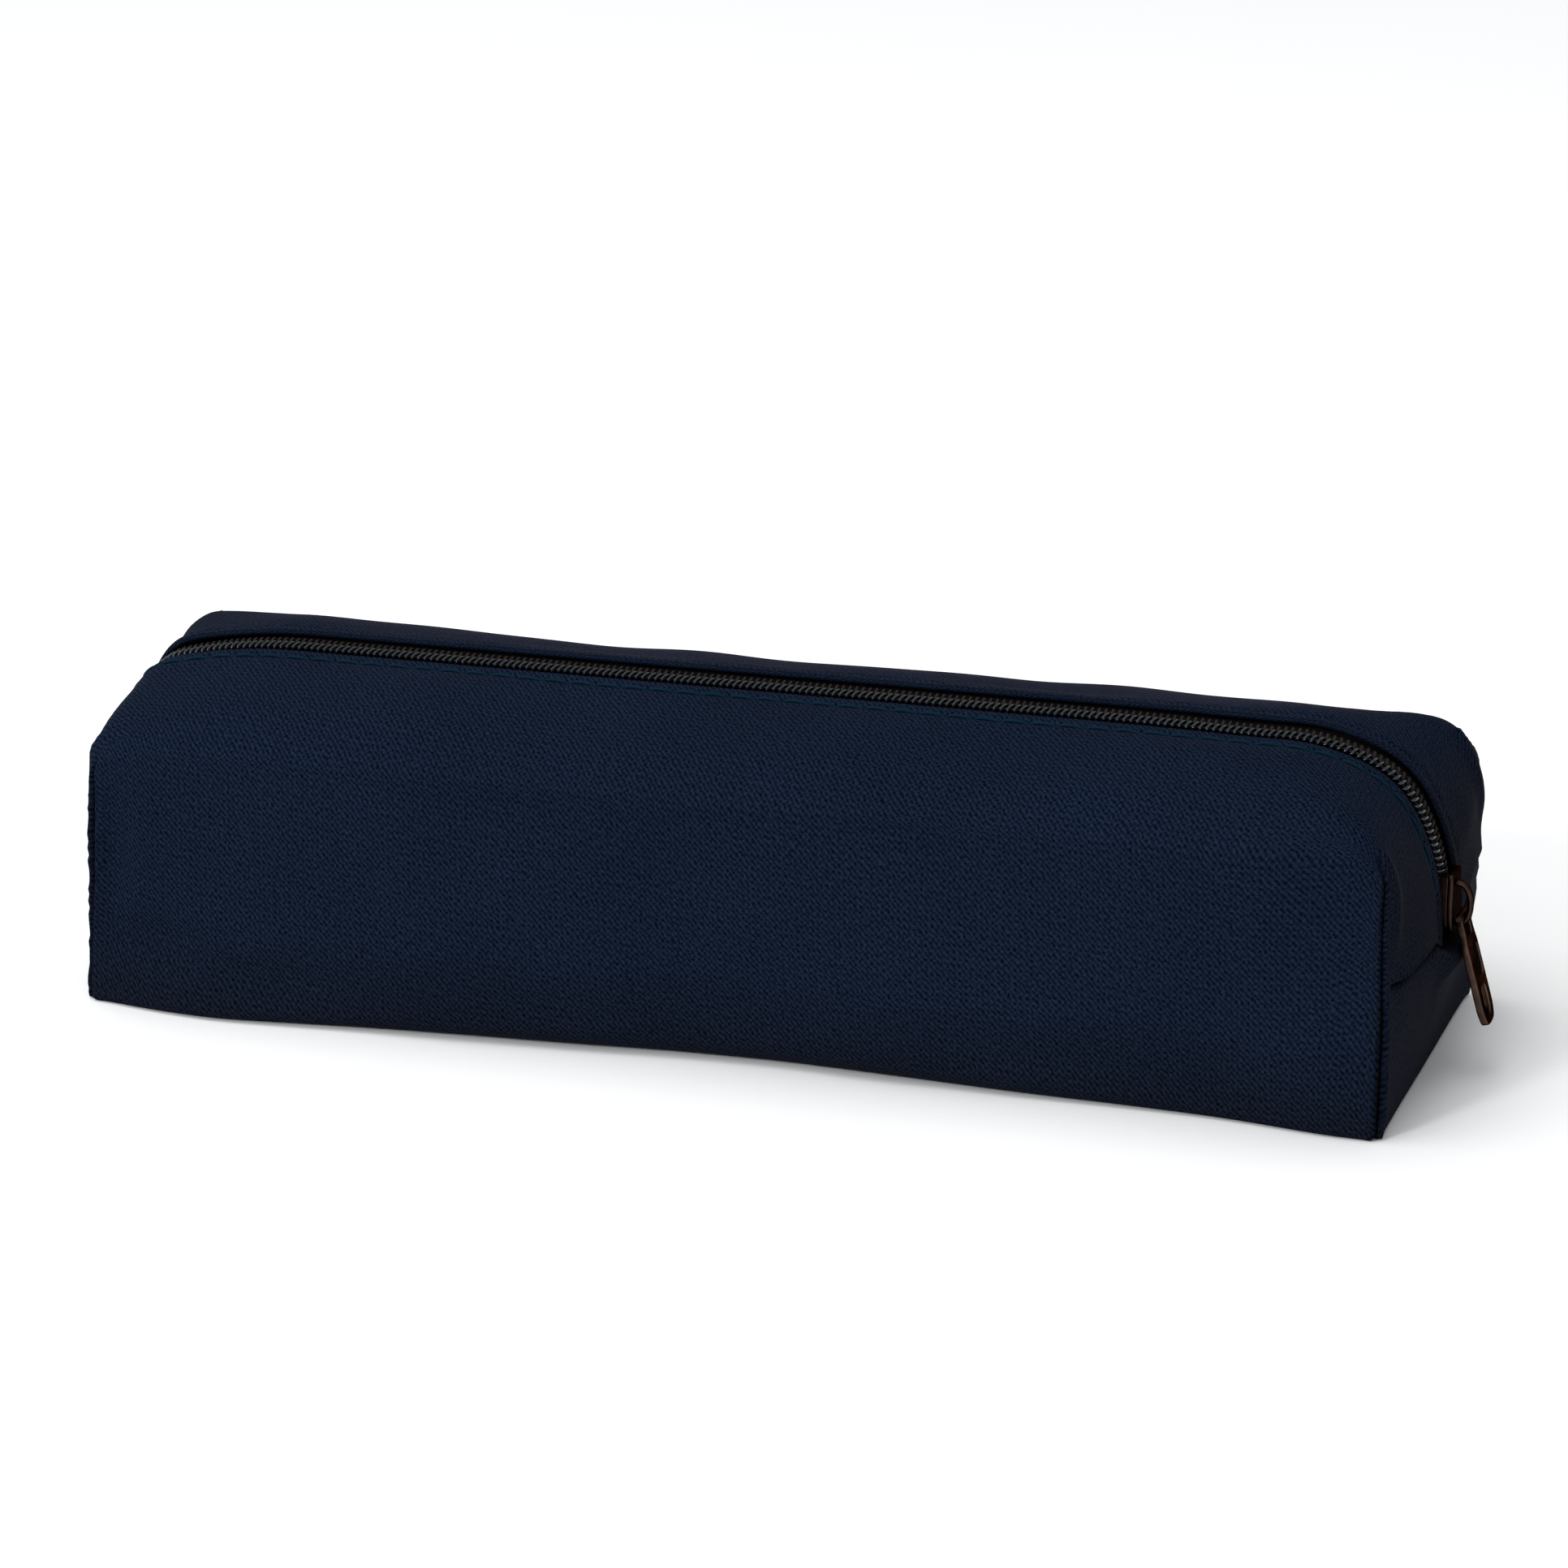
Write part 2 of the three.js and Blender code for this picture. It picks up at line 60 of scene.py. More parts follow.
# ---- camera ------------------------------------------------------------------
AZIMUTH, ELEVATION, ROLL = 20.27, 19.87, -1.81  # degrees
DISTANCE, AIM_HEIGHT = 931.6, 25.0  # millimetres
OFFSET_RIGHT, OFFSET_UP = 1.8, 11.5  # the camera's place in its own plane
SENSOR, LENS = 36.0, 131.005
CLIP_START, CLIP_END = 0.01, 20  # metres


def make_camera():
    a, e, roll = (math.radians(v) for v in (AZIMUTH, ELEVATION, ROLL))
    back = Vector((math.sin(a) * math.cos(e), -math.cos(a) * math.cos(e), math.sin(e)))
    right = Vector((math.cos(a), math.sin(a), 0))
    up = Vector((-math.sin(a) * math.sin(e), math.cos(a) * math.sin(e), math.cos(e)))
    place = Vector((0, 0, AIM_HEIGHT)) + back * DISTANCE + right * OFFSET_RIGHT + up * OFFSET_UP
    turned_right = right * math.cos(roll) + up * math.sin(roll)
    turned_up = up * math.cos(roll) - right * math.sin(roll)
    data = bpy.data.cameras.new("camera")
    data.sensor_width = SENSOR
    data.lens = LENS
    data.clip_start, data.clip_end = CLIP_START, CLIP_END
    camera = bpy.data.objects.new("camera", data)
    matrix = Matrix((turned_right, turned_up, back)).transposed().to_4x4()
    matrix.translation = place * MM
    camera.matrix_world = matrix
    bpy.context.scene.collection.objects.link(camera)
    bpy.context.scene.camera = camera


make_camera()

# ---- the case's form ---------------------------------------------------------
HALF_LENGTH, HALF_DEPTH, HEIGHT = 110.0, 31.0, 54.0
END_BULGE, WALL_BULGE, TOP_DROP = 2.0, 1.0, 7.0
# ends and sides are +1 or -1, as along the axes: the right end is 1 and the back 1
SEAM_LEAN = {1: 0.2, -1: 0.6}  # a corner seam's lean over its height
TURN = {1: (26.0, 7.4), -1: (7.5, 2.6)}  # radius of the top's turn at the zip and the corners
SEAM_RADIUS, SHOULDER_RADIUS = 0.8, 8.5
SEAM_TOP = (41.0, 49.0)
SEAM_Z = 22.5  # height of the end seams
MOUTH = 4.0  # half the gap between the folded edges
# the bulge of cloth below the middle of an end seam
RIDGE_RISE, RIDGE_Z, RIDGE_REACH, RIDGE_HALF = 2.4, 19.5, 3.0, 10.0
STITCH_Y, STITCH_PITCH = 6.6, 4.6
BASE_EDGE = (1.2, 5.5)  # the base fold's radius at the ends and the middle
PUSH_STEPS, PUSH_REACH, RAY_LENGTH, NORMAL_STEP = 36, 8, 26, 0.02  # the search for the surface


def smooth(v, lo, hi):
    """0 below lo, 1 above hi and an S-curve between."""
    t = np.clip((v - lo) / (hi - lo), 0, 1)
    return t * t * (3 - 2 * t)


def bell(v, width):
    return np.exp(-(v / width) ** 2)


def round_edge(a, b, r):
    """The inside of both signed distances a and b, with radius r along their edge."""
    return np.minimum(np.maximum(a, b), -r) + np.hypot(np.maximum(a + r, 0), np.maximum(b + r, 0))


def end_reach(x, y, z):
    """How far out an end face stands."""
    side = np.clip(np.abs(y) / HALF_DEPTH, 0, 1) ** 2
    crown = END_BULGE * np.sin(np.pi / 2 * np.clip(z / SEAM_Z, 0, 1)) * (1 - side)
    lean = np.where(x < 0, SEAM_LEAN[-1], SEAM_LEAN[1])
    return HALF_LENGTH + crown - lean * side * np.clip(z / SEAM_TOP[0], 0, 1)


def wall_reach(x, z):
    """How far out a long wall stands."""
    along = 1 - np.clip(np.abs(x) / HALF_LENGTH, 0, 1) ** 2
    return HALF_DEPTH + WALL_BULGE * along * np.sin(np.pi * np.clip(z / SEAM_TOP[0], 0, 1))


def outer_form(p):
    """Signed distance to the case's outer face, for points in millimetres."""
    x, y, z = p[..., 0], p[..., 1], p[..., 2]
    side = np.clip(np.abs(y) / HALF_DEPTH, 0, 1) ** 2
    right = smooth(x, -10, 10)
    mid, edge = (TURN[1][n] * right + TURN[-1][n] * (1 - right) for n in (0, 1))
    turn = mid + (edge - mid) * side
    lengthwise = round_edge(np.abs(x) - end_reach(x, y, z), z - HEIGHT + TOP_DROP * side, turn)
    corner = SEAM_RADIUS + (SHOULDER_RADIUS - SEAM_RADIUS) * smooth(z, *SEAM_TOP)
    walls = round_edge(lengthwise, np.abs(y) - wall_reach(x, z), corner)
    inwards = 1 - np.clip(np.abs(x) / HALF_LENGTH, 0, 1) ** 2
    fold = BASE_EDGE[0] + (BASE_EDGE[1] - BASE_EDGE[0]) * inwards ** 2
    return round_edge(walls, -z, fold)


def unit(v):
    return v / np.linalg.norm(v, axis=-1, keepdims=True)


def form_normal(p):
    h = NORMAL_STEP
    slope = np.stack([outer_form(p + h * e) - outer_form(p - h * e) for e in np.eye(3)], -1)
    return unit(slope)


def push_out(core, target):
    """Points on the outer form along the rays from core through target."""
    ray = target - core
    size = np.linalg.norm(ray, axis=-1, keepdims=True)
    ray = ray / size
    lo, hi = np.zeros_like(size), size + PUSH_REACH
    for _ in range(PUSH_STEPS):
        mid = (lo + hi) / 2
        inside = outer_form(core + ray * mid)[..., None] < 0
        lo, hi = np.where(inside, mid, lo), np.where(inside, hi, mid)
    return core + ray * (lo + hi) / 2


# ---- the zip's path in the middle plane ---------------------------------------
def zip_ray(s):
    """Foot and direction, in x and z, of the outward ray at path length s."""
    side = np.where(s < 0, -1.0, 1.0)
    radius = np.where(s < 0, TURN[-1][0], TURN[1][0])
    top = HALF_LENGTH + END_BULGE - radius
    turned = np.clip((np.abs(s) - top) / radius, 0, np.pi / 2)
    down = np.maximum(np.abs(s) - top - radius * np.pi / 2, 0)
    foot = np.stack([np.where(np.abs(s) < top, s, side * top), HEIGHT - radius - down], -1)
    return foot, np.stack([side * np.sin(turned), np.cos(turned)], -1)


def path_end(side):
    """Path length from the middle of the top to the zip's end at an end seam."""
    radius = TURN[side][0]
    return side * (HALF_LENGTH + END_BULGE - radius + radius * np.pi / 2 + HEIGHT - radius - SEAM_Z)


def path_length_at(p):
    """Path length of the place on the zip line that a surface point lies beside."""
    x, z = p[..., 0], p[..., 2]
    side = np.where(x < 0, -1.0, 1.0)
    radius = np.where(x < 0, TURN[-1][0], TURN[1][0])
    top = HALF_LENGTH + END_BULGE - radius
    over, rise = np.abs(x) - top, z - (HEIGHT - radius)
    arc = radius * np.arctan2(np.maximum(over, 0), np.maximum(rise, 1e-6))
    return np.where(over < 0, x, side * (top + arc + np.maximum(-rise, 0)))


def beside_zip(s, y):
    """Points of the bare outer form at path length s and distance y from the zip line."""
    foot, out = zip_ray(s)
    core = np.stack([foot[..., 0], y + 0 * s, foot[..., 1]], -1)
    ray = np.stack([out[..., 0], 0 * s, out[..., 1]], -1)
    return push_out(core, core + RAY_LENGTH * ray)


# ---- soft detail: seams, puckers, dents and the sag of the whole case ------------
def corner_seam(p):
    """Each corner's tight sunk line, the roll, puckers and hollow beside it, and the end's soft ridge."""
    x, y, z = p[..., 0], p[..., 1], p[..., 2]
    fade = 1 - smooth(z, 37, 47)
    to_end = end_reach(x, y, z) - np.abs(x)
    to_wall = wall_reach(x, z) - np.abs(y)
    on_end = smooth(to_wall - to_end, -0.4, 0.4)
    d = np.maximum(to_end, to_wall)
    near = np.where(np.minimum(to_end, to_wall) < 3, 1.0, 0.0)
    roll = 0.45 * (1 - np.exp(-d / 0.3)) * np.exp(-d / 3.0) - 2.4 * bell(to_end - to_wall - 0.28, 0.38)
    pucker = 0.13 * np.sin(z * 1.9 + 2 * np.sin(z * 0.7)) * bell(d - 0.6, 1.4)
    ridge = 0.85 * on_end * bell(d - 3.8, 1.8) * smooth(z, 22, 34) * (1 - smooth(z, 44, 52))
    hollow = -np.where(x < 0, 1.6, 0.5) * (1 - on_end) * bell(d - 4.5, 2.8) * bell(z - 26, 12)
    return near * (fade * (roll + pucker + hollow) + ridge)


def along_end_seam(p):
    """1 on the end faces, fading out beside the corner seams."""
    x, y = np.abs(p[..., 0]), np.abs(p[..., 1])
    return smooth(x, HALF_LENGTH - 6, HALF_LENGTH - 3) * (1 - smooth(y, 24, 30))


def end_seam(p):
    """The end seam's step: cloth folded over above it, a tight line, and the full cloth below."""
    y, z = p[..., 1], p[..., 2]
    on_end = along_end_seam(p)
    d = z - SEAM_Z
    above = 1.15 * np.exp(-np.abs(d) / 4.5)
    below = (1 - np.exp(-np.abs(d) / 1.4)) * np.exp(-np.abs(d) / 6.0) - 2.2 * bell(d + 0.55, 0.5)
    middle = bell(y, RIDGE_HALF)
    above = above * (1 - 0.8 * middle)
    below = below + RIDGE_RISE * middle * bell(z - RIDGE_Z, RIDGE_REACH)
    return on_end * (below + (above - below) * smooth(d, -0.25, 0.15))


def seam_shade(p):
    """0 to 1: how deep a place lies in the tight lines of the corner and end seams, which sets the painted
    shade there.
    """
    x, y, z = p[..., 0], p[..., 1], p[..., 2]
    to_end = end_reach(x, y, z) - np.abs(x)
    to_wall = wall_reach(x, z) - np.abs(y)
    corner = np.where(np.minimum(to_end, to_wall) < 3, 1.0, 0.0) * bell(to_end - to_wall - 0.28, 0.5)
    corner = corner * (1 - smooth(z, 37, 47))
    return np.clip(corner + along_end_seam(p) * bell(z - SEAM_Z + 0.5, 0.75), 0, 1)


def topstitch_line(p):
    """The line that the topstitching draws down, the puffs beside it and the raised far edge."""
    y = np.abs(p[..., 1])
    s = path_length_at(p)
    by_zip = smooth(p[..., 2], SEAM_Z, SEAM_Z + 1.5) * (1 - smooth(y, 11, 14))
    wave = 0.5 + 0.5 * np.cos(2 * np.pi * s / STITCH_PITCH)
    far = np.where(p[..., 1] > 0, 1.7, 0.55)
    dip = -0.4 * bell(y - STITCH_Y, 0.6) * (0.75 + 0.25 * wave)
    puff = far * (0.15 * bell(y - STITCH_Y - 2.0, 1.4) * (1 - 0.75 * wave) + 0.16 * bell(y - 5.2, 0.8))
    raised = np.where(p[..., 1] > 0, 0.75, 0.0) * (1 - smooth(y, 4.2, 7.5))
    return by_zip * (dip + puff + raised)


WAVES = (  # direction, wavelength in millimetres, phase and height of the cloth's slow undulation
    ((1.0, 0.3, 0.2), 71, 0.4, 0.38),
    ((0.9, -0.5, 0.7), 47, 1.9, 0.26),
    ((0.35, 0.2, 1.0), 39, 3.1, 0.2),
    ((1.0, 0.1, -0.8), 29, 5.0, 0.15),
    ((-0.4, 1.0, 0.5), 33, 2.2, 0.14),
    ((1.0, 0.8, 0.1), 19, 0.9, 0.07),
)
DENTS = (  # middle x and z, reach along and up, and depth of the dents in the front wall
    (-97, 12.5, 8, 3.6, 1.5), (-78, 8, 12, 3.2, 1.2), (-60, 42, 14, 3.5, 0.6), (-24, 7, 16, 3, 0.7),
    (-30, 40, 16, 4, 0.5), (20, 42, 18, 4, 0.5), (98, 32, 4.5, 12, 0.6), (56, 8, 16, 4, 0.6),
)


def front_dents(p):
    """Shallow dents in the front wall."""
    x, y, z = p[..., 0], p[..., 1], p[..., 2]
    total = 0
    for middle_x, middle_z, reach_x, reach_z, depth in DENTS:
        total = total + depth * bell(x - middle_x, reach_x) * bell(z - middle_z, reach_z)
    return -total * smooth(-y, 24, 29)


def undulation(p):
    """Slow waves of the cloth, fading out beside the zip and at the base."""
    total = 0
    for direction, length, phase, height in WAVES:
        d = np.array(direction) / np.linalg.norm(direction)
        total = total + height * np.sin(2 * np.pi * (p @ d) / length + phase)
    y, z = np.abs(p[..., 1]), p[..., 2]
    off_base = smooth(z, 0.5, 7)
    return total * off_base * np.where(z > SEAM_Z, smooth(y, 5, 13), 1)


# how far a long wall's foot stands out of its straight line, along the case
FOOT = ((-125, 0), (-112, 0.2), (-100, 3.0), (-87, 4.6), (-60, 2.4), (-40, 1.6), (-25, 1.0), (-8, -0.6),
        (10, -1.3), (26, -0.8), (50, -0.2), (68, -0.8), (83, -0.8), (96, 0.6), (104, 1.6), (112, 0.3),
        (125, 0))
FOOT_X = np.arange(-125, 126.0)
BLUR = bell(np.arange(-15, 16), 6)
FOOT_PUSH = np.convolve(np.interp(FOOT_X, *zip(*FOOT)), BLUR / BLUR.sum(), "same")
FULLNESS, LEAST_HEIGHT = 1.012, 0.02  # upward swell of the whole case, and the lowest cloth


def settle(p):
    """The whole soft case's slump: moves bare-form points to where the cloth lies."""
    x, y, z = p[..., 0], p[..., 1], p[..., 2]
    q = p.copy()
    q[..., 2] *= FULLNESS
    side = np.clip(np.abs(y) / HALF_DEPTH, 0, 1)
    back = y > 0
    # the left end: its top falls, its back corner stays up and its foot stands out a little
    fall = 3.7 - np.where(back, 4.4, 1.9) * side
    q[..., 2] -= smooth(z, 20, 48) * fall * np.clip((-x - 82) / 24.5, 0, 1.25) ** 2
    q[..., 2] += smooth(z, 30, 46) * smooth(-x, 93, 106) * np.where(back, 1.9, 0) * side ** 3
    q[..., 0] -= 2.2 * smooth(-x, 95, 110) * smooth(z, 30, 46) * bell(y - 20, 9)
    q[..., 0] -= smooth(-x, 85, 110) * smooth(z, 8, 42) * side ** 2 * np.where(back, 3.0, -1.8)
    q[..., 0] -= 0.7 * smooth(-x, 90, 110) * (1 - smooth(z, 2, 26))
    # the right end: its foot drawn in, and a shallow dip in the top before its back corner
    q[..., 0] -= smooth(x, 90, 110) * (1 - smooth(z, 0, 20)) * (1.1 + 0.4 * y / HALF_DEPTH)
    crest = 1.4 * bell(x - 104, 6) - 1.7 * bell(x - 93, 7)
    q[..., 2] += crest * bell(y - HALF_DEPTH, 9) * smooth(z, 30, 45)
    q[..., 0] -= 1.0 * smooth(x, 100, 110) * smooth(z, 34, 46) * smooth(y, 10, 30)
    # the left end seam runs a little lower beside the corners; the right one climbs towards the back
    q[..., 2] -= 1.0 * smooth(-x, 100, 108) * side ** 3 * bell(z - SEAM_Z, 8)
    pull = 3.0 * smooth(-y, 3.5, 11) - 0.5 * smooth(-y, 14, 30) + 5.8 * smooth(y, 3.5, 19)
    q[..., 2] += pull * smooth(x, 100, 108) * bell(z - SEAM_Z, 11)
    # the long walls' feet
    foot = (0.25 * (1 - smooth(z, 20, 46)) + 0.75 * (1 - smooth(z, 0, 24))) * side ** 2 * np.sign(y)
    q[..., 1] += foot * np.interp(x, FOOT_X, FOOT_PUSH)
    # the zip lies a little lower than the cloth beside it where the slider's run ends
    q[..., 2] -= 0.45 * bell(y, 7) * smooth(z, 34, 50) * bell(x - 84, 14)
    # the turn above the slider stands a little fuller than a true arc
    corner = bell(x - 103, 9) * bell(z - 46, 9)
    q[..., 0] += 0.9 * corner
    q[..., 2] = np.maximum(q[..., 2] + 0.9 * corner, LEAST_HEIGHT)
    return q


def place(p, extra=0.0):
    """A bare-form surface point with its soft detail, lifted by extra along its normal."""
    normal = form_normal(p)
    height = corner_seam(p) + end_seam(p) + topstitch_line(p) + undulation(p) + front_dents(p) + extra
    lap = 0.75 * along_end_seam(p) * bell(p[..., 2] - SEAM_Z - 0.25, 0.42)
    moved = p + normal * height[..., None]
    moved[..., 2] -= lap
    return settle(moved)


# ---- mesh helpers ------------------------------------------------------------
def new_mesh(name, points, faces, material):
    """A smooth-shaded object from points in millimetres."""
    mesh = bpy.data.meshes.new(name)
    mesh.from_pydata((np.asarray(points, float) * MM).tolist(), [], [list(map(int, f)) for f in faces])
    mesh.validate()
    mesh.polygons.foreach_set("use_smooth", [True] * len(mesh.polygons))
    mesh.materials.append(material)
    mesh.update()
    piece = bpy.data.objects.new(name, mesh)
    bpy.context.scene.collection.objects.link(piece)
    return piece


def tube_faces(count, sides):
    """Quads between successive rings of a tube."""
    i, j = np.meshgrid(np.arange(count - 1), np.arange(sides), indexing="ij")
    k = (j + 1) % sides
    quads = [i * sides + j, i * sides + k, (i + 1) * sides + k, (i + 1) * sides + j]
    return np.stack(quads, -1).reshape(-1, 4)


def rings_mesh(name, rings, material):
    """A closed, capped solid through successive rings of points."""
    rings = np.asarray(rings, float)
    count, sides = rings.shape[:2]
    faces = [list(f) for f in tube_faces(count, sides)]
    faces.append(list(range(sides))[::-1])
    faces.append([(count - 1) * sides + j for j in range(sides)])
    points = rings.reshape(-1, 3)
    if signed_volume(points, faces) < 0:
        faces = [f[::-1] for f in faces]
    return new_mesh(name, points, faces, material)


def signed_volume(points, faces):
    total = 0.0
    for f in faces:
        a = points[f[0]]
        for n in range(1, len(f) - 1):
            total += float(a @ np.cross(points[f[n]], points[f[n + 1]]))
    return total / 6


def cells(grid):
    """The four corners of each cell of a grid of ids or places."""
    return np.stack([grid[:-1, :-1], grid[1:, :-1], grid[1:, 1:], grid[:-1, 1:]], 2)


def write_uv(piece, uv):
    """A UV map from one place for each vertex."""
    loops = np.empty(len(piece.data.loops), int)
    piece.data.loops.foreach_get("vertex_index", loops)
    piece.data.uv_layers.new(name="cloth").data.foreach_set("uv", uv[loops].ravel())


def tube_rings(path, radius, sides, reference):
    """Round rings about a path; reference is a vector that no tangent is parallel to."""
    tangent = unit(np.gradient(path, axis=0))
    a = unit(np.cross(tangent, reference))
    b = np.cross(tangent, a)
    angle = 2 * np.pi * np.arange(sides) / sides
    radius = np.broadcast_to(np.asarray(radius, float), (len(path),))
    circle = np.cos(angle)[None, :, None] * a[:, None] + np.sin(angle)[None, :, None] * b[:, None]
    return path[:, None] + radius[:, None, None] * circle


# ---- materials ---------------------------------------------------------------
class Nodes:
    """A small builder for one material's node tree."""

    def __init__(self, name, colour, roughness, metallic=0.0):
        self.material = bpy.data.materials.new(name)
        self.material.use_nodes = True
        self.tree = self.material.node_tree
        self.shader = self.tree.nodes["Principled BSDF"]
        self.shader.inputs["Base Color"].default_value = (*colour, 1)
        self.shader.inputs["Roughness"].default_value = roughness
        self.shader.inputs["Metallic"].default_value = metallic

    def add(self, kind, **values):
        node = self.tree.nodes.new(kind)
        for key, value in values.items():
            setattr(node, key, value)
        return node

    def link(self, source, target):
        if isinstance(source, (int, float)):
            target.default_value = source
        else:
            self.tree.links.new(source, target)

    def math(self, operation, a, b=0.0, clamp=False):
        node = self.add("ShaderNodeMath", operation=operation, use_clamp=clamp)
        self.link(a, node.inputs[0])
        self.link(b, node.inputs[1])
        return node.outputs[0]

    def plus(self, a, b, clamp=False):
        return self.math("ADD", a, b, clamp)

    def times(self, a, b):
        return self.math("MULTIPLY", a, b)

    def paint(self, colour):
        self.link(colour, self.shader.inputs["Base Color"])

    def gloss(self, level):
        self.shader.inputs["Specular IOR Level"].default_value = level

    def wave(self, value):
        """0 to 1 sine of a value counted in whole turns."""
        turned = self.times(value, 2 * math.pi)
        return self.plus(self.times(self.math("SINE", turned), 0.5), 0.5)

    def noise(self, vector, scale, detail=2.0, roughness=0.5):
        node = self.add("ShaderNodeTexNoise")
        node.inputs["Scale"].default_value = scale
        node.inputs["Detail"].default_value = detail
        node.inputs["Roughness"].default_value = roughness
        self.link(vector, node.inputs["Vector"])
        return node.outputs["Fac"]

    def ramp(self, value, low, high):
        """Maps a value from the range low to high onto 0 to 1."""
        node = self.add("ShaderNodeMapRange")
        self.link(value, node.inputs["Value"])
        node.inputs["From Min"].default_value = low
        node.inputs["From Max"].default_value = high
        return node.outputs["Result"]

    def mix(self, factor, a, b):
        node = self.add("ShaderNodeMix", data_type="RGBA")
        self.link(factor, node.inputs["Factor"])
        for value, name in ((a, "A"), (b, "B")):
            sockets = [s for s in node.inputs if s.name == name and s.type == "RGBA"]
            if isinstance(value, tuple):
                sockets[0].default_value = (*value, 1)
            else:
                self.link(value, sockets[0])
        return [s for s in node.outputs if s.type == "RGBA"][0]

    def scale_colour(self, colour, factor):
        node = self.add("ShaderNodeVectorMath", operation="SCALE")
        self.link(colour, node.inputs[0])
        self.link(factor, node.inputs["Scale"])
        return node.outputs[0]

    def bump(self, height, distance, strength=1.0):
        node = self.add("ShaderNodeBump")
        node.inputs["Strength"].default_value = strength
        node.inputs["Distance"].default_value = distance
        self.link(height, node.inputs["Height"])
        self.tree.links.new(node.outputs["Normal"], self.shader.inputs["Normal"])

    def tinted(self, colour, factors):
        node = self.add("ShaderNodeVectorMath", operation="MULTIPLY")
        self.link(colour, node.inputs[0])
        node.inputs[1].default_value = factors
        return node.outputs[0]

    def object_position(self):
        return self.add("ShaderNodeTexCoord").outputs["Object"]

    def cloth_position(self):
        return self.add("ShaderNodeUVMap", uv_map="cloth").outputs["UV"]

    def split(self, vector):
        node = self.add("ShaderNodeSeparateXYZ")
        self.link(vector, node.inputs[0])
        return node.outputs


# the weave's regular parts: turns per millimetre along and up the cloth, and their weights
WEAVE = ((1.0, 0.86, 0.5), (-0.94, 0.92, 0.2), (0.1, 0.9, 0.16), (1.12, 0.0, 0.14))


def twill_material():
    """Navy polyester twill. The cloth's UV map is in millimetres."""
    n = Nodes("navy_twill", (0.008, 0.015, 0.033), 0.88)
    uv = n.cloth_position()
    u, v, _ = n.split(uv)
    weave = 0.0
    for number, (along, up, weight) in enumerate(WEAVE):
        drift = n.times(n.noise(uv, 0.45 + 0.13 * number, 3, 0.6), 1.5)
        phase = n.plus(n.plus(n.times(u, along), n.times(v, up)), drift)
        weave = n.plus(n.times(n.wave(phase), weight), weave)
    yarn = n.ramp(n.noise(uv, 1.5, 2, 0.75), 0.3, 0.72)
    fleck = n.ramp(n.noise(uv, 2.6, 1, 0.5), 0.63, 0.74)
    light = n.times(n.plus(n.times(weave, 1.9), -0.67), 0.56)
    uneven = n.plus(n.times(yarn, 0.55), n.times(fleck, 0.85))
    light = n.plus(light, uneven, True)
    colour = n.mix(light, (0.0004, 0.0018, 0.0056), (0.0092, 0.0165, 0.0355))
    where = n.object_position()
    x, _, z = n.split(where)
    # Painted sheen and shade: the cloth's colour is tinted warmer and darker on the end faces and near the
    # base.
    at_end = n.ramp(n.math("ABSOLUTE", x), 0.1065, 0.1115)
    painted_light = n.math("MAXIMUM", at_end, n.ramp(z, 0.017, 0.0))
    colour = n.mix(painted_light, colour, n.tinted(colour, (1.02, 0.74, 0.62)))
    patch = n.plus(n.times(n.noise(where, 28, 3), 0.4), 0.8)
    # Painted shade: the cloth is darkened by up to 93% in the tight lines of the seams.
    tight = n.add("ShaderNodeAttribute", attribute_name="seam_shade").outputs["Fac"]
    open_cloth = n.math("SUBTRACT", 1.0, n.times(tight, 0.93))
    n.paint(n.scale_colour(colour, n.times(patch, open_cloth)))
    n.gloss(0.02)
    n.shader.inputs["Sheen Weight"].default_value = 0.013
    n.shader.inputs["Sheen Roughness"].default_value = 0.3
    n.shader.inputs["Sheen Tint"].default_value = (1.0, 0.6, 0.5, 1)
    n.bump(weave, 0.00012, 0.6)
    return n.material


def tape_material():
    """Black herringbone zip tape."""
    n = Nodes("black_zip_tape", (0.01, 0.01, 0.011), 0.85)
    uv = n.cloth_position()
    u, v, _ = n.split(uv)
    zigzag = n.math("PINGPONG", v, 0.9)
    rib = n.wave(n.times(n.plus(u, zigzag), 1.7))
    yarn = n.wave(n.times(v, 2.6))
    relief = n.plus(n.times(rib, 0.6), n.times(yarn, 0.4))
    n.paint(n.mix(relief, (0.0035, 0.0033, 0.0035), (0.014, 0.0125, 0.012)))
    n.gloss(0.2)
    n.bump(relief, 0.0001, 0.6)
    return n.material


def nylon_material(name, dark, light, roughness, specular, glint=(1, 1, 1)):
    """Moulded nylon filament with faint streaks along its surface."""
    n = Nodes(name, dark, roughness)
    where = n.object_position()
    streak = n.noise(where, 900, 2)
    n.paint(n.mix(streak, dark, light))
    n.link(n.plus(n.times(n.noise(where, 400, 2), 0.2), roughness - 0.1),
           n.shader.inputs["Roughness"])
    n.gloss(specular)
    n.shader.inputs["Specular Tint"].default_value = (*glint, 1)
    n.bump(n.noise(where, 1500, 2), 0.00002, 0.4)
    return n.material


def thread_material(name, dark, light):
    """Twisted sewing thread; the twist follows the UV map along the thread."""
    n = Nodes(name, dark, 0.7)
    u, v, _ = n.split(n.cloth_position())
    twist = n.wave(n.plus(n.times(u, 2.4), v))
    n.paint(n.mix(twist, dark, light))
    n.gloss(0.05)
    n.bump(twist, 0.00005, 0.7)
    return n.material


def plain_cloth_material(name, dark, light):
    """A dull plain weave."""
    n = Nodes(name, dark, 0.9)
    where = n.object_position()
    weave = n.noise(where, 1400, 2)
    n.paint(n.mix(weave, dark, light))
    n.gloss(0.2)
    n.bump(weave, 0.0001, 0.6)
    return n.material


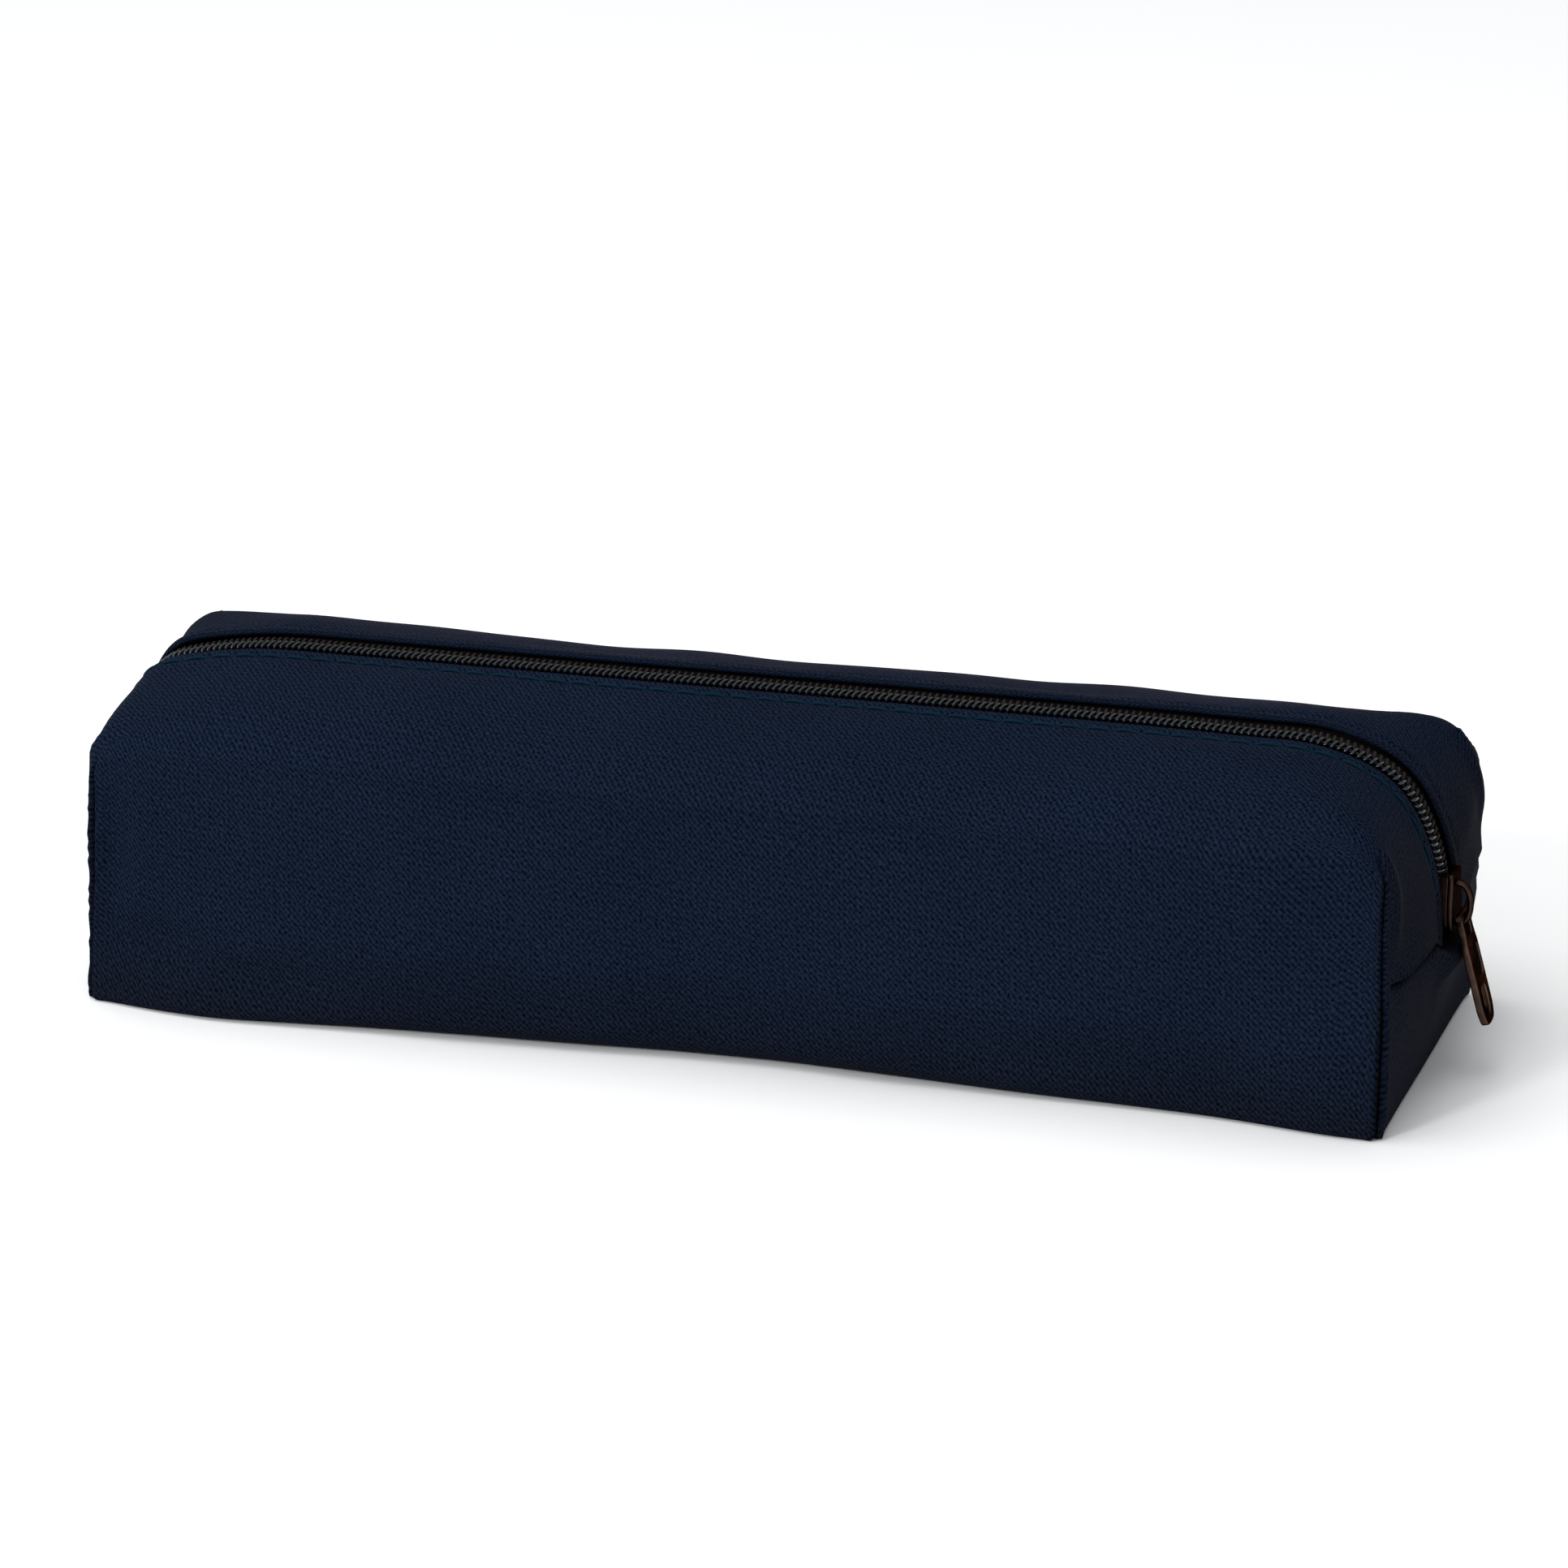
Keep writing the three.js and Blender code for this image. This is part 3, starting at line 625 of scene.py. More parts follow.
def metal_material(name, shade):
    """Dark bronzed zip metal: painted warm reflection mixed into its own uneven bronze tone, and a painted
    highlight on its high edges.
    """
    n = Nodes(name, (0.03, 0.024, 0.021), 0.3, 1.0)
    where = n.object_position()
    # Warmer patches by noise: partly the bronze's own uneven tone, partly painted warm reflection.
    tone_and_painted_reflection = n.ramp(n.noise(where, 260, 4, 0.6), 0.42, 0.7)
    # Painted highlight: the high edges are mixed up to halfway towards a light warm colour.
    edge = n.ramp(n.add("ShaderNodeNewGeometry").outputs["Pointiness"], 0.5, 0.58)
    bronze = n.mix(tone_and_painted_reflection, (0.042, 0.027, 0.022), (0.13, 0.072, 0.052))
    painted_light = n.mix(n.times(edge, 0.5), bronze, (0.11, 0.08, 0.065))
    n.paint(n.scale_colour(painted_light, shade))
    n.shader.inputs["Specular Tint"].default_value = (0.14, 0.08, 0.06, 1)
    n.link(n.plus(n.times(n.noise(where, 700, 3), 0.2), 0.2), n.shader.inputs["Roughness"])
    n.bump(n.noise(where, 1200, 3), 0.00003, 0.35)
    return n.material


def floor_material():
    """A nearly even pale floor."""
    n = Nodes("pale_floor", (0.8, 0.8, 0.8), 0.9)
    tone = n.noise(n.object_position(), 3, 2)
    n.paint(n.mix(tone, (0.87, 0.87, 0.865), (0.9, 0.9, 0.895)))
    n.gloss(0.1)
    return n.material


TWILL = twill_material()
TAPE = tape_material()
# One nylon in two copies: the front row is glossy, and the back row's brown-grey colour is a painted dull
# reflection with little gloss.
FRONT_COIL = nylon_material("black_nylon", (0.0012, 0.0013, 0.0016), (0.004, 0.004, 0.0048), 0.15, 0.85,
                            (0.72, 0.86, 1.0))
BACK_COIL = nylon_material("black_nylon_painted_dull_reflection", (0.0085, 0.0068, 0.0066), (0.028, 0.0222, 0.0212), 0.45, 0.02)
THREAD = thread_material("navy_thread", (0.0006, 0.0085, 0.018), (0.0016, 0.0155, 0.031))
CORD = plain_cloth_material("filler_cord", (0.01, 0.01, 0.011), (0.03, 0.03, 0.032))
BINDING = plain_cloth_material("binding_weave", (0.008, 0.009, 0.012), (0.02, 0.022, 0.027))
METAL = metal_material("gunmetal", 1.0)
DARK_METAL = metal_material("gunmetal_dark", 0.5)

# ---- wrap panel --------------------------------------------------------------
# the core that the cloth's rays start from, lower towards the right
CORE_X, CORE_Y, CORE_LOW, CORE_HIGH = (-95.0, 84.0), 22.0, 3.5, (40.0, 28.0)
CELL = 1.3  # side of a mesh cell away from the seams
EDGE_LINES = (0.0, 0.22, 0.45, 0.75, 1.2, 1.8, 2.6)
FINE = 3.6  # from an edge or seam to the even cells
BASE_UV = 200  # sets the base apart in the UV map
SEAM_LINES = (-2.6, -1.9, -1.4, -1.1, -0.85, -0.6, -0.35, -0.15, 0, 0.15, 0.35, 0.6, 0.9, 1.3, 1.9, 2.6)


def spaced(lo, hi, step):
    return np.linspace(lo, hi, max(1, round((hi - lo) / step)) + 1)


def grid_lines():
    """Grid places along x, y and z, close together at the seams and the folded edges."""
    edge = np.array(EDGE_LINES)
    along = spaced(-HALF_LENGTH + FINE, HALF_LENGTH - FINE, CELL)
    x = np.concatenate([-HALF_LENGTH + edge, along, HALF_LENGTH - edge])
    by_zip = [0, 2.0, MOUTH, MOUTH + 0.5, 5.1, 5.7, 6.2, STITCH_Y, 7.0, 7.6, 8.3, 9.2]
    half = np.concatenate([by_zip, spaced(10.4, HALF_DEPTH - FINE, CELL), HALF_DEPTH - edge])
    y = np.concatenate([-half[half > 0], half])
    foot = [0, 0.5, 1.1, 1.8, 2.6]
    above = spaced(SEAM_Z + FINE, HEIGHT, 1.2)
    below = spaced(FINE, SEAM_Z - FINE, CELL)
    z = np.concatenate([foot, below, SEAM_Z + np.array(SEAM_LINES), above])
    return [np.unique(np.round(places, 4)) for places in (x, y, z)]


def grid_surface(gx, gy, gz):
    """Bare-form points for box grid places gx, gy, gz (arrays of one shape)."""
    x = gx * end_reach(gx, gy, gz) / HALF_LENGTH
    y = gy * wall_reach(x, gz) / HALF_DEPTH
    high = CORE_HIGH[0] + (CORE_HIGH[1] - CORE_HIGH[0]) * smooth(x, -80, 60)
    core = np.stack([np.clip(x, *CORE_X), np.clip(y, -CORE_Y, CORE_Y), np.clip(gz, CORE_LOW, high)], -1)
    return push_out(core, np.stack([x, y, gz + 0 * x], -1))


class Panel:
    """Points and faces of the cloth skin on the six faces of a box grid."""

    def __init__(self):
        self.x, self.y, self.z = grid_lines()
        self.ids = -np.ones((len(self.x), len(self.y), len(self.z)), int)
        self.points, self.faces, self.uvs = [], [], []
        self.count = 0
        self.add_faces()

    def surface(self, i, j, k):
        shape = np.broadcast(i, j, k).shape
        gx, gy, gz = (np.broadcast_to(a, shape) for a in (self.x[i], self.y[j], self.z[k]))
        return grid_surface(gx, gy, gz)

    def lengths(self, i, j, k, axis, anchor):
        """Lengths along one grid direction of a sheet of surface points, from an anchor line."""
        points = self.surface(i, j, k)
        steps = np.linalg.norm(np.diff(points, axis=axis), axis=-1)
        pad = [(0, 0), (0, 0)]
        pad[axis] = (1, 0)
        total = np.cumsum(np.pad(steps, pad), axis=axis)
        return total - np.take(total, [anchor], axis=axis)

    def vertex_ids(self, i, j, k):
        """Ids of grid vertices, making the new ones."""
        shape = np.broadcast(i, j, k).shape
        i, j, k = (np.broadcast_to(a, shape).ravel() for a in (i, j, k))
        new = self.ids[i, j, k] < 0
        fresh = np.flatnonzero(new)
        if len(fresh):
            self.ids[i[fresh], j[fresh], k[fresh]] = self.count + np.arange(len(fresh))
            self.points.append(self.surface(i[fresh], j[fresh], k[fresh]))
            self.count += len(fresh)
        return self.ids[i, j, k].reshape(shape)

    def add_grid(self, i, j, k, u, v, flip, keep):
        quad, corner = cells(self.vertex_ids(i, j, k)), cells(np.stack([u, v], -1))
        if flip:
            quad, corner = quad[:, :, ::-1], corner[:, :, ::-1]
        self.faces.append(quad[keep])
        self.uvs.append(corner[keep])

    def add_faces(self):
        ni, nj, nk = len(self.x) - 1, len(self.y) - 1, len(self.z) - 1
        mid_i, mid_j = (int(np.argmin(np.abs(line))) for line in (self.x, self.y))
        I, J, K = np.arange(ni + 1), np.arange(nj + 1), np.arange(nk + 1)
        middle = lambda a: (a[:-1] + a[1:]) / 2
        closed_y = np.abs(middle(self.y)) > MOUTH
        i, j = np.meshgrid(I, J, indexing="ij")
        top_u = self.lengths(i, j, nk, 0, mid_i)
        top_v = self.lengths(i, j, nk, 1, mid_j)
        self.add_grid(i, j, nk, top_u, top_v, False, np.ones((ni, 1), bool) & closed_y[None])
        base_v = self.lengths(i, j, 0, 1, mid_j) + BASE_UV
        self.add_grid(i, j, 0, self.lengths(i, j, 0, 0, mid_i), base_v, True, np.ones((ni, nj), bool))
        i, k = np.meshgrid(I, K, indexing="ij")
        for at, index, flip, sign in ((0, 0, False, 1), (-1, nj, True, -1)):
            up = self.lengths(i, index, k, 1, nk)
            along = self.lengths(i, index, k, 0, mid_i)
            v = top_v[:, at][:, None] + sign * up
            self.add_grid(i, index, k, along, v, flip, np.ones((ni, nk), bool))
        j, k = np.meshgrid(J, K, indexing="ij")
        shut = closed_y[:, None] | (middle(self.z) < SEAM_Z)[None]
        for at, index, flip, sign in ((-1, ni, False, -1), (0, 0, True, 1)):
            up = self.lengths(index, j, k, 1, nk)
            across = self.lengths(index, j, k, 0, mid_j)
            self.add_grid(index, j, k, top_u[at][:, None] + sign * up, across, flip, shut)

    def edge_rows(self, side):
        """Rows of vertex ids from a folded edge outwards, each running over the whole zip."""
        ni, nk = len(self.x) - 1, len(self.z) - 1
        k0 = int(np.argmin(np.abs(self.z - SEAM_Z)))
        columns = np.flatnonzero(side * self.y >= MOUTH - 1e-6)
        if side < 0:
            columns = columns[::-1]
        rows = []
        for j in columns[:HEM_ROWS]:
            left = self.ids[0, j, k0:nk]
            right = self.ids[ni, j, k0:nk][::-1]
            rows.append(np.concatenate([left, self.ids[:, j, nk], right]))
        return np.array(rows)


FOLD = 0.42  # radius of the folded edge
HEM_ROWS, HEM_STEP = 9, 0.6  # the cloth's grid rows over the hem, and its UV step


def hem(points, rows, side):
    """Points of the folded edge: round the fold, then back under the cloth."""
    edge, inner = points[rows[0]], points[rows[1]]
    along = unit(np.gradient(edge, axis=0))
    into = unit(edge - inner)
    normal = unit(np.cross(along, into)) * -side
    layers = []
    for angle in np.radians(np.arange(36, 181, 36)):
        layers.append(edge + FOLD * (math.sin(angle) * into - (1 - math.cos(angle)) * normal))
    for row in rows[1:]:
        layers.append(points[row] - 2 * FOLD * normal)
    return np.array(layers)


def make_panel():
    panel = Panel()
    bare = np.concatenate(panel.points)
    cloth = place(bare)
    points, faces, uvs = [cloth], [*panel.faces], [*panel.uvs]
    offset = len(cloth)
    for side in (-1, 1):
        rows = panel.edge_rows(side)
        layers = hem(cloth, rows, side)
        size = layers[..., 0].size
        ids = np.concatenate([rows[:1], offset + np.arange(size).reshape(layers.shape[:2])])
        u = np.concatenate([[0], np.cumsum(np.linalg.norm(np.diff(cloth[rows[0]], axis=0), axis=-1))])
        uu, vv = np.meshgrid(u, np.arange(len(ids)) * HEM_STEP)
        quad = cells(ids).reshape(-1, 4)
        corner = cells(np.stack([uu, vv * side], -1)).reshape(-1, 4, 2)
        if side > 0:
            quad, corner = quad[:, ::-1], corner[:, ::-1]
        points.append(layers.reshape(-1, 3))
        faces.append(quad)
        uvs.append(corner)
        offset += size
    points = np.concatenate(points)
    piece = new_mesh("case_cloth", points, np.concatenate(faces), TWILL)
    piece.data.uv_layers.new(name="cloth").data.foreach_set("uv", np.concatenate(uvs).ravel())
    # the amount of painted shade in the seam lines, kept on the mesh for the cloth's material
    depth = np.concatenate([seam_shade(bare), np.zeros(len(points) - len(bare))])
    piece.data.attributes.new("seam_shade", "FLOAT", "POINT").data.foreach_set("value", depth)
    return piece


# ---- the zip -----------------------------------------------------------------
class ZipLine:
    """The settled zip line: place and outward normal by its own length."""

    def __init__(self):
        s = np.linspace(path_end(-1), path_end(1), ZIP_STEPS)
        line = settle(beside_zip(s, 0 * s))
        self.place = line
        steps = np.linalg.norm(np.diff(line, axis=0), axis=-1)
        self.length = np.concatenate([[0], np.cumsum(steps)])
        self.normal = unit(np.cross(unit(np.gradient(line, axis=0)), ACROSS))
        self.normal *= np.sign(self.normal[len(s) // 2, 2])

    def at(self, a, y, n):
        """Points at length a, y across the zip and n outwards."""
        pick = lambda table: np.stack([np.interp(a, self.length, table[:, k]) for k in range(3)], -1)
        out = pick(self.place) + n[..., None] * unit(pick(self.normal))
        out[..., 1] += y
        return out


SIDES = {-1: "front", 1: "back"}
PITCH = 1.13  # millimetres between coil turns
# the coil row's middle off the zip line, its half width and height, and its depth below the line
COIL_MID, COIL_HALF_Y, COIL_HALF_N, COIL_DEPTH = 0.95, 1.0, 0.46, 0.52
FILAMENT = 0.262
TURN_STEPS, FILAMENT_SIDES = 22, 7
ZIP_STEPS, CORD_STEPS, TAPE_STEPS, CORD_RADIUS = 1400, 300, 360, 0.16


def coil_row(line, side):
    start, stop = 0.4, line.length[-1] - 0.4
    turns = int((stop - start) / PITCH) - 1
    turn = np.arange(turns * TURN_STEPS + 1) / TURN_STEPS
    angle = 2 * np.pi * turn
    squarish = lambda v, power: np.sign(v) * np.abs(v) ** power
    y = COIL_MID + COIL_HALF_Y * squarish(np.cos(angle), 0.8)
    n = COIL_HALF_N * squarish(np.sin(angle), 0.75)
    a = start + PITCH * (turn + (0.5 if side > 0 else 0.0))
    path = line.at(a, side * y, n - COIL_DEPTH)
    head = 1 + 0.12 * bell(y + 0.3, 0.5)  # thicker where the two rows lock
    rings = tube_rings(path, FILAMENT * head, FILAMENT_SIDES, np.array([0.31, 0.13, 0.94]))
    return rings_mesh(f"{SIDES[side]}_coil_turns", rings, FRONT_COIL if side < 0 else BACK_COIL)


def coil_cord(line, side):
    a = np.linspace(0.6, line.length[-1] - 0.6, CORD_STEPS)
    path = line.at(a, side * 1.0 + 0 * a, 0 * a - COIL_DEPTH)
    rings = tube_rings(path, CORD_RADIUS, 6, ACROSS)
    return rings_mesh(f"{SIDES[side]}_filler_cord", rings, CORD)


TAPE_TOP, TAPE_THICK = 1.16, 0.45
TAPE_LINES = (1.0, 2.2, 2.9, 3.5, 4.3, 6, 8, 10.5)


def zip_tape(line, side):
    a = np.linspace(0.1, line.length[-1] - 0.1, TAPE_STEPS)
    top = [(y, -TAPE_TOP - TOP_DROP * (y / HALF_DEPTH) ** 2) for y in TAPE_LINES]
    ring = top + [(y, n - TAPE_THICK) for y, n in reversed(top)]
    rings = np.stack([line.at(a, side * y + 0 * a, n + 0 * a) for y, n in ring], 1)
    piece = rings_mesh(f"{SIDES[side]}_tape", rings, TAPE)
    write_uv(piece, np.stack([np.repeat(a, len(ring)), np.tile([y for y, _ in ring], len(a))], -1))
    return piece


def topstitch(side):
    """Separate lockstitches along the folded edge, each dipping into the cloth at its ends."""
    first, last = path_end(-1) * 0.985, path_end(1) * 0.97  # a little short of the zip's ends
    count = int((last - first) / STITCH_PITCH)
    steps, sides = 13, 8
    points, faces, uvs = [], [], []
    for m in range(count):
        middle = (round(first / STITCH_PITCH) + m + 0.5) * STITCH_PITCH
        t = np.linspace(-1, 1, steps)
        s = middle + t * STITCH_PITCH * 0.49
        lift = (0.29 if side < 0 else -0.04) - 0.4 * np.abs(t) ** 4
        path = place(beside_zip(s, side * (STITCH_Y + 0.22 * t)), lift)
        radius = (0.31 if side < 0 else 0.17) * (1 - 0.35 * t ** 4)
        rings = tube_rings(path, radius, sides, np.array([0, 1.0, 0.2]))
        points.append(rings.reshape(-1, 3))
        faces.append(tube_faces(steps, sides) + m * steps * sides)
        uvs.append(np.stack([np.repeat(s, sides), np.tile(np.arange(sides) / sides, steps)], -1))
    piece = new_mesh(f"{SIDES[side]}_stitches", np.concatenate(points), np.concatenate(faces), THREAD)
    write_uv(piece, np.concatenate(uvs))
    return piece


# ---- seam bindings inside the case ---------------------------------------------
# where the binding starts and ends in from the seam, its half thickness and the tape's own
BIND_FROM, BIND_TO, BIND_HALF, BIND_SKIN = 3.0, 8.5, 0.7, 0.3
SEWN_AT, SEWN_RADIUS, SEWN_GAP = 4.2, 0.2, 0.45  # its thread: in from the seam, radius, off the tape
END_SHIFT = 2.2  # an end seam's binding starts this much further out


def folded_tape():
    """A hairpin section, as (distance in from the seam, offset across): tape folded over raw edges."""
    turn = np.linspace(-math.pi / 2, math.pi / 2, 7)
    outer = [(BIND_TO - BIND_HALF + BIND_HALF * math.cos(a), BIND_HALF * math.sin(a)) for a in turn]
    thin = BIND_HALF - BIND_SKIN
    inner = [(BIND_TO - BIND_HALF + thin * math.cos(a), thin * math.sin(a)) for a in turn[::-1]]
    outer = [(BIND_FROM, -BIND_HALF), *outer, (BIND_FROM, BIND_HALF)]
    return [*outer, (BIND_FROM, thin), *inner, (BIND_FROM, -thin)]


def seam_frame(end, side, count):
    """Seam line places with their inward and across directions; side 0 is the end seam."""
    if side:
        z = np.linspace(3.6, 35.5, count)
        y = side * HALF_DEPTH + 0 * z
        seam = np.stack([end * end_reach(end + 0 * z, y, z), y, z], -1)
        inward = np.array([-end, -side, 0]) * math.sqrt(0.5)
        across = np.array([end, -side, 0]) * math.sqrt(0.5)
    else:
        y = np.linspace(-20, 20, count)
        seam = np.stack([end * (HALF_LENGTH + END_SHIFT) + 0 * y, y, SEAM_Z - 1.1 + 0 * y], -1)
        inward, across = np.array([-end, 0, 0.0]), np.array([0, 0, 1.0])
    return seam, inward, across


def make_binding(end, side, name):
    seam, inward, across = seam_frame(end, side, 46)
    ripple = 0.12 * np.sin(np.arange(len(seam)) * 0.9)
    rings = [seam + d * inward + (a + ripple[:, None]) * across for d, a in folded_tape()]
    return rings_mesh(name, settle(np.stack(rings, 1)), BINDING)


def make_seam_thread(end, side, name):
    seam, inward, across = seam_frame(end, side, 120)
    sway = 0.08 * np.sin(np.arange(len(seam)) * 0.8)
    lift = -(BIND_HALF + SEWN_GAP) if side == 0 else BIND_HALF + SEWN_GAP
    path = seam + (SEWN_AT + sway[:, None]) * inward + lift * across
    rings = tube_rings(path, SEWN_RADIUS, 8, inward)
    return rings_mesh(name, settle(rings), CORD)


# ---- slider and puller -------------------------------------------------------
def outline_solid(name, outer, holes, thickness, bevel, material):
    """A plate with rounded edges from an outline and its holes, centred on its own plane."""
    curve = bpy.data.curves.new(name, "CURVE")
    curve.dimensions = "2D"
    curve.fill_mode = "BOTH"
    curve.extrude = (thickness / 2 - bevel) * MM
    curve.bevel_depth = bevel * MM
    curve.bevel_resolution = 3
    curve.offset = -bevel * MM
    for outline in (outer, *holes):
        spline = curve.splines.new("POLY")
        spline.points.add(len(outline) - 1)
        spline.points.foreach_set("co", [v for x, y in outline for v in (x * MM, y * MM, 0, 1)])
        spline.use_cyclic_u = True
    holder = bpy.data.objects.new(name, curve)
    bpy.context.scene.collection.objects.link(holder)
    mesh = bpy.data.meshes.new_from_object(holder.evaluated_get(bpy.context.evaluated_depsgraph_get()))
    bpy.data.objects.remove(holder)
    mesh.materials.clear()
    mesh.materials.append(material)
    mesh.polygons.foreach_set("use_smooth", [True] * len(mesh.polygons))
    piece = bpy.data.objects.new(name, mesh)
    bpy.context.scene.collection.objects.link(piece)
    return piece


def join(pieces, name):
    bpy.ops.object.select_all(action="DESELECT")
    for piece in pieces:
        piece.select_set(True)
    bpy.context.view_layer.objects.active = pieces[0]
    bpy.ops.object.join()
    pieces[0].name = name
    return pieces[0]


SHARP_ANGLE = 35


def soften(piece):
    """Flat faces stay flat and rounded edges shade smoothly."""
    modifier = piece.modifiers.new("weighted", "WEIGHTED_NORMAL")
    modifier.keep_sharp = True
    piece.data.set_sharp_from_angle(angle=math.radians(SHARP_ANGLE))
    return piece


def rounded(points, radius, steps=5):
    """An outline with its corners rounded."""
    out = []
    count = len(points)
    for n in range(count):
        before, here, after = (np.array(points[(n + d) % count], float) for d in (-1, 0, 1))
        a, b = unit(before - here), unit(after - here)
        r = min(radius, 0.45 * np.linalg.norm(before - here), 0.45 * np.linalg.norm(after - here))
        start, stop = here + a * r, here + b * r
        for t in np.linspace(0, 1, steps):
            out.append(tuple((1 - t) ** 2 * start + 2 * t * (1 - t) * here + t ** 2 * stop))
    return out


SLIDER_X, SLIDER_Z = HALF_LENGTH + END_BULGE, 28.4
# half the slider's length, the puller's bar below and out from its middle, and the puller's lean
SLIDER_HALF, PIVOT_T, PIVOT_N, LEAN = 5.2, -2.1, 2.4, 14.0
ON_END = Matrix(((0, 0, 1), (1, 0, 0), (0, 1, 0))).to_4x4()  # outline (across, up, out) to (Y, Z, X)


def stand(piece, n, z=SLIDER_Z, lean=0.0, x=SLIDER_X):
    """Turns a plate made in its own plane to face +X, n millimetres off the zip line."""
    matrix = Matrix.Translation(Vector((x * MM, 0, z * MM))) @ Matrix.Rotation(-math.radians(lean), 4, "Y")
    piece.data.transform(matrix @ ON_END @ Matrix.Translation(Vector((0, 0, n * MM))))
    return piece


def mirrored(right):
    return right + [(-x, y) for x, y in reversed(right)]


def oblong(half, top, bottom):
    return mirrored([(half, top), (half, bottom)])


def make_slider():
    h = SLIDER_HALF
    body = rounded(mirrored([(2.0, -h), (3.7, -h + 2.0), (3.7, 0.4), (3.0, 3.2), (2.9, h)]), 1.1)
    top = stand(outline_solid("slider_top", body, [], 0.9, 0.3, DARK_METAL), 1.15)
    under = stand(outline_solid("slider_under", body, [], 0.85, 0.25, DARK_METAL), -3.35)
    parts = [top, under]
    for side in (-1, 1):
        rail = [(3.05, -h + 2.2), (3.65, -h + 2.2), (3.65, 0.4), (2.95, 3.2),
                (2.85, h - 0.3), (2.5, h - 0.3), (2.5, 3.2), (3.05, 0.4)]
        flange = outline_solid("slider_flange", [(side * x, y) for x, y in rail], [], 1.35, 0.12, DARK_METAL)
        parts.append(stand(flange, 0.08))
    post = [(-0.25, -h + 0.4), (0.25, -h + 0.4), (0.25, -1.2), (-0.25, -1.2)]
    parts.append(stand(outline_solid("slider_neck", post, [], 3.9, 0.05, DARK_METAL), -1.2))
    # the bail: a flattened wire loop standing on the top plate
    t = np.linspace(0, 1, 41)
    angle = np.pi * t
    out_from = SLIDER_X + 1.2 + 2.55 * np.abs(np.sin(angle)) ** 0.55
    path = np.stack([out_from, 0 * t, SLIDER_Z - 0.15 - 3.3 * np.cos(angle)], -1)
    tangent = unit(np.gradient(path, axis=0))
    out = np.cross(tangent, ACROSS)
    ring = 2 * np.pi * np.arange(14) / 14
    width = 0.85 - 0.12 * bell(t - 0.5, 0.2)
    rings = (path[:, None] + width[:, None, None] * np.cos(ring)[None, :, None] * ACROSS
             + 0.52 * np.sin(ring)[None, :, None] * out[:, None])
    parts.append(rings_mesh("slider_bail", rings, DARK_METAL))
    return soften(join(parts, "slider"))


def make_puller():
    length, half, head, eye = 18.4, 3.1, 2.6, 1.3
    foot = [(half, -length + 2.4), (2.2, -length + 0.3), (0.7, -length)]
    outline = rounded(mirrored([(head, 0.1), (head, -3.2), (half, -5.2), *foot]), 1.6)
    slot = rounded(oblong(1.25, -12.0, -16.8), 1.2, 7)
    eye_hole = rounded(oblong(eye, -0.5, -3.5), 0.5)
    panel_hole = rounded(oblong(2.25, -5.3, -10.6), 0.9)
    rim = outline_solid("puller_rim", outline, [eye_hole, panel_hole, slot], 1.15, 0.24, METAL)
    web = outline_solid("puller_web", oblong(2.6, -4.9, -11.0), [], 0.6, 0.05, METAL)
    parts = [rim, web]
    for piece in parts:
        stand(piece, 0, SLIDER_Z + PIVOT_T, LEAN, SLIDER_X + PIVOT_N)
    y = np.linspace(-head, head, 9)
    bar = np.stack([SLIDER_X + PIVOT_N + 0 * y, y, SLIDER_Z + PIVOT_T + 0 * y], -1)
    radius = 0.58 * np.minimum(1, 0.75 + 0.25 * (head - np.abs(y)) / 0.3)
    parts.append(rings_mesh("puller_bar", tube_rings(bar, radius, 20, np.array([0, 0, 1.0])), METAL))
    return soften(join(parts, "puller_tab"))


# ---- build -------------------------------------------------------------------
line = ZipLine()
made = {"case_cloth": make_panel()}
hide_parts("wrap_panel")
for side, word in SIDES.items():
    for piece, node, slot in (
        (coil_row(line, side), f"{word}_coil", "coil"),
        (coil_cord(line, side), f"{word}_coil_cord", "thread"),
        (zip_tape(line, side), f"{word}_zip_tape", "zip_tape"),
        (topstitch(side), f"{word}_topstitch", "thread"),
    ):
        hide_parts(node)
        made[piece.name] = piece
for end, end_word in ((1, "right"), (-1, "left")):
    for side, side_word in ((0, "end"), (-1, "front"), (1, "back")):
        for kind, make, name, slot in (
            ("binding", make_binding, "binding_tape", "binding"),
            ("thread", make_seam_thread, "seam_stitches", "thread"),
        ):
            piece = make(end, side, f"{end_word}_{side_word}_{name}")
            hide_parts(f"{end_word}_{side_word}_{kind}")
            made[piece.name] = piece
for piece in made.values():
    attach(piece, "case")

slider = make_slider()
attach(slider, "slider")
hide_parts("zip_slider")
puller = make_puller()
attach(puller, "puller")
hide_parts("puller")

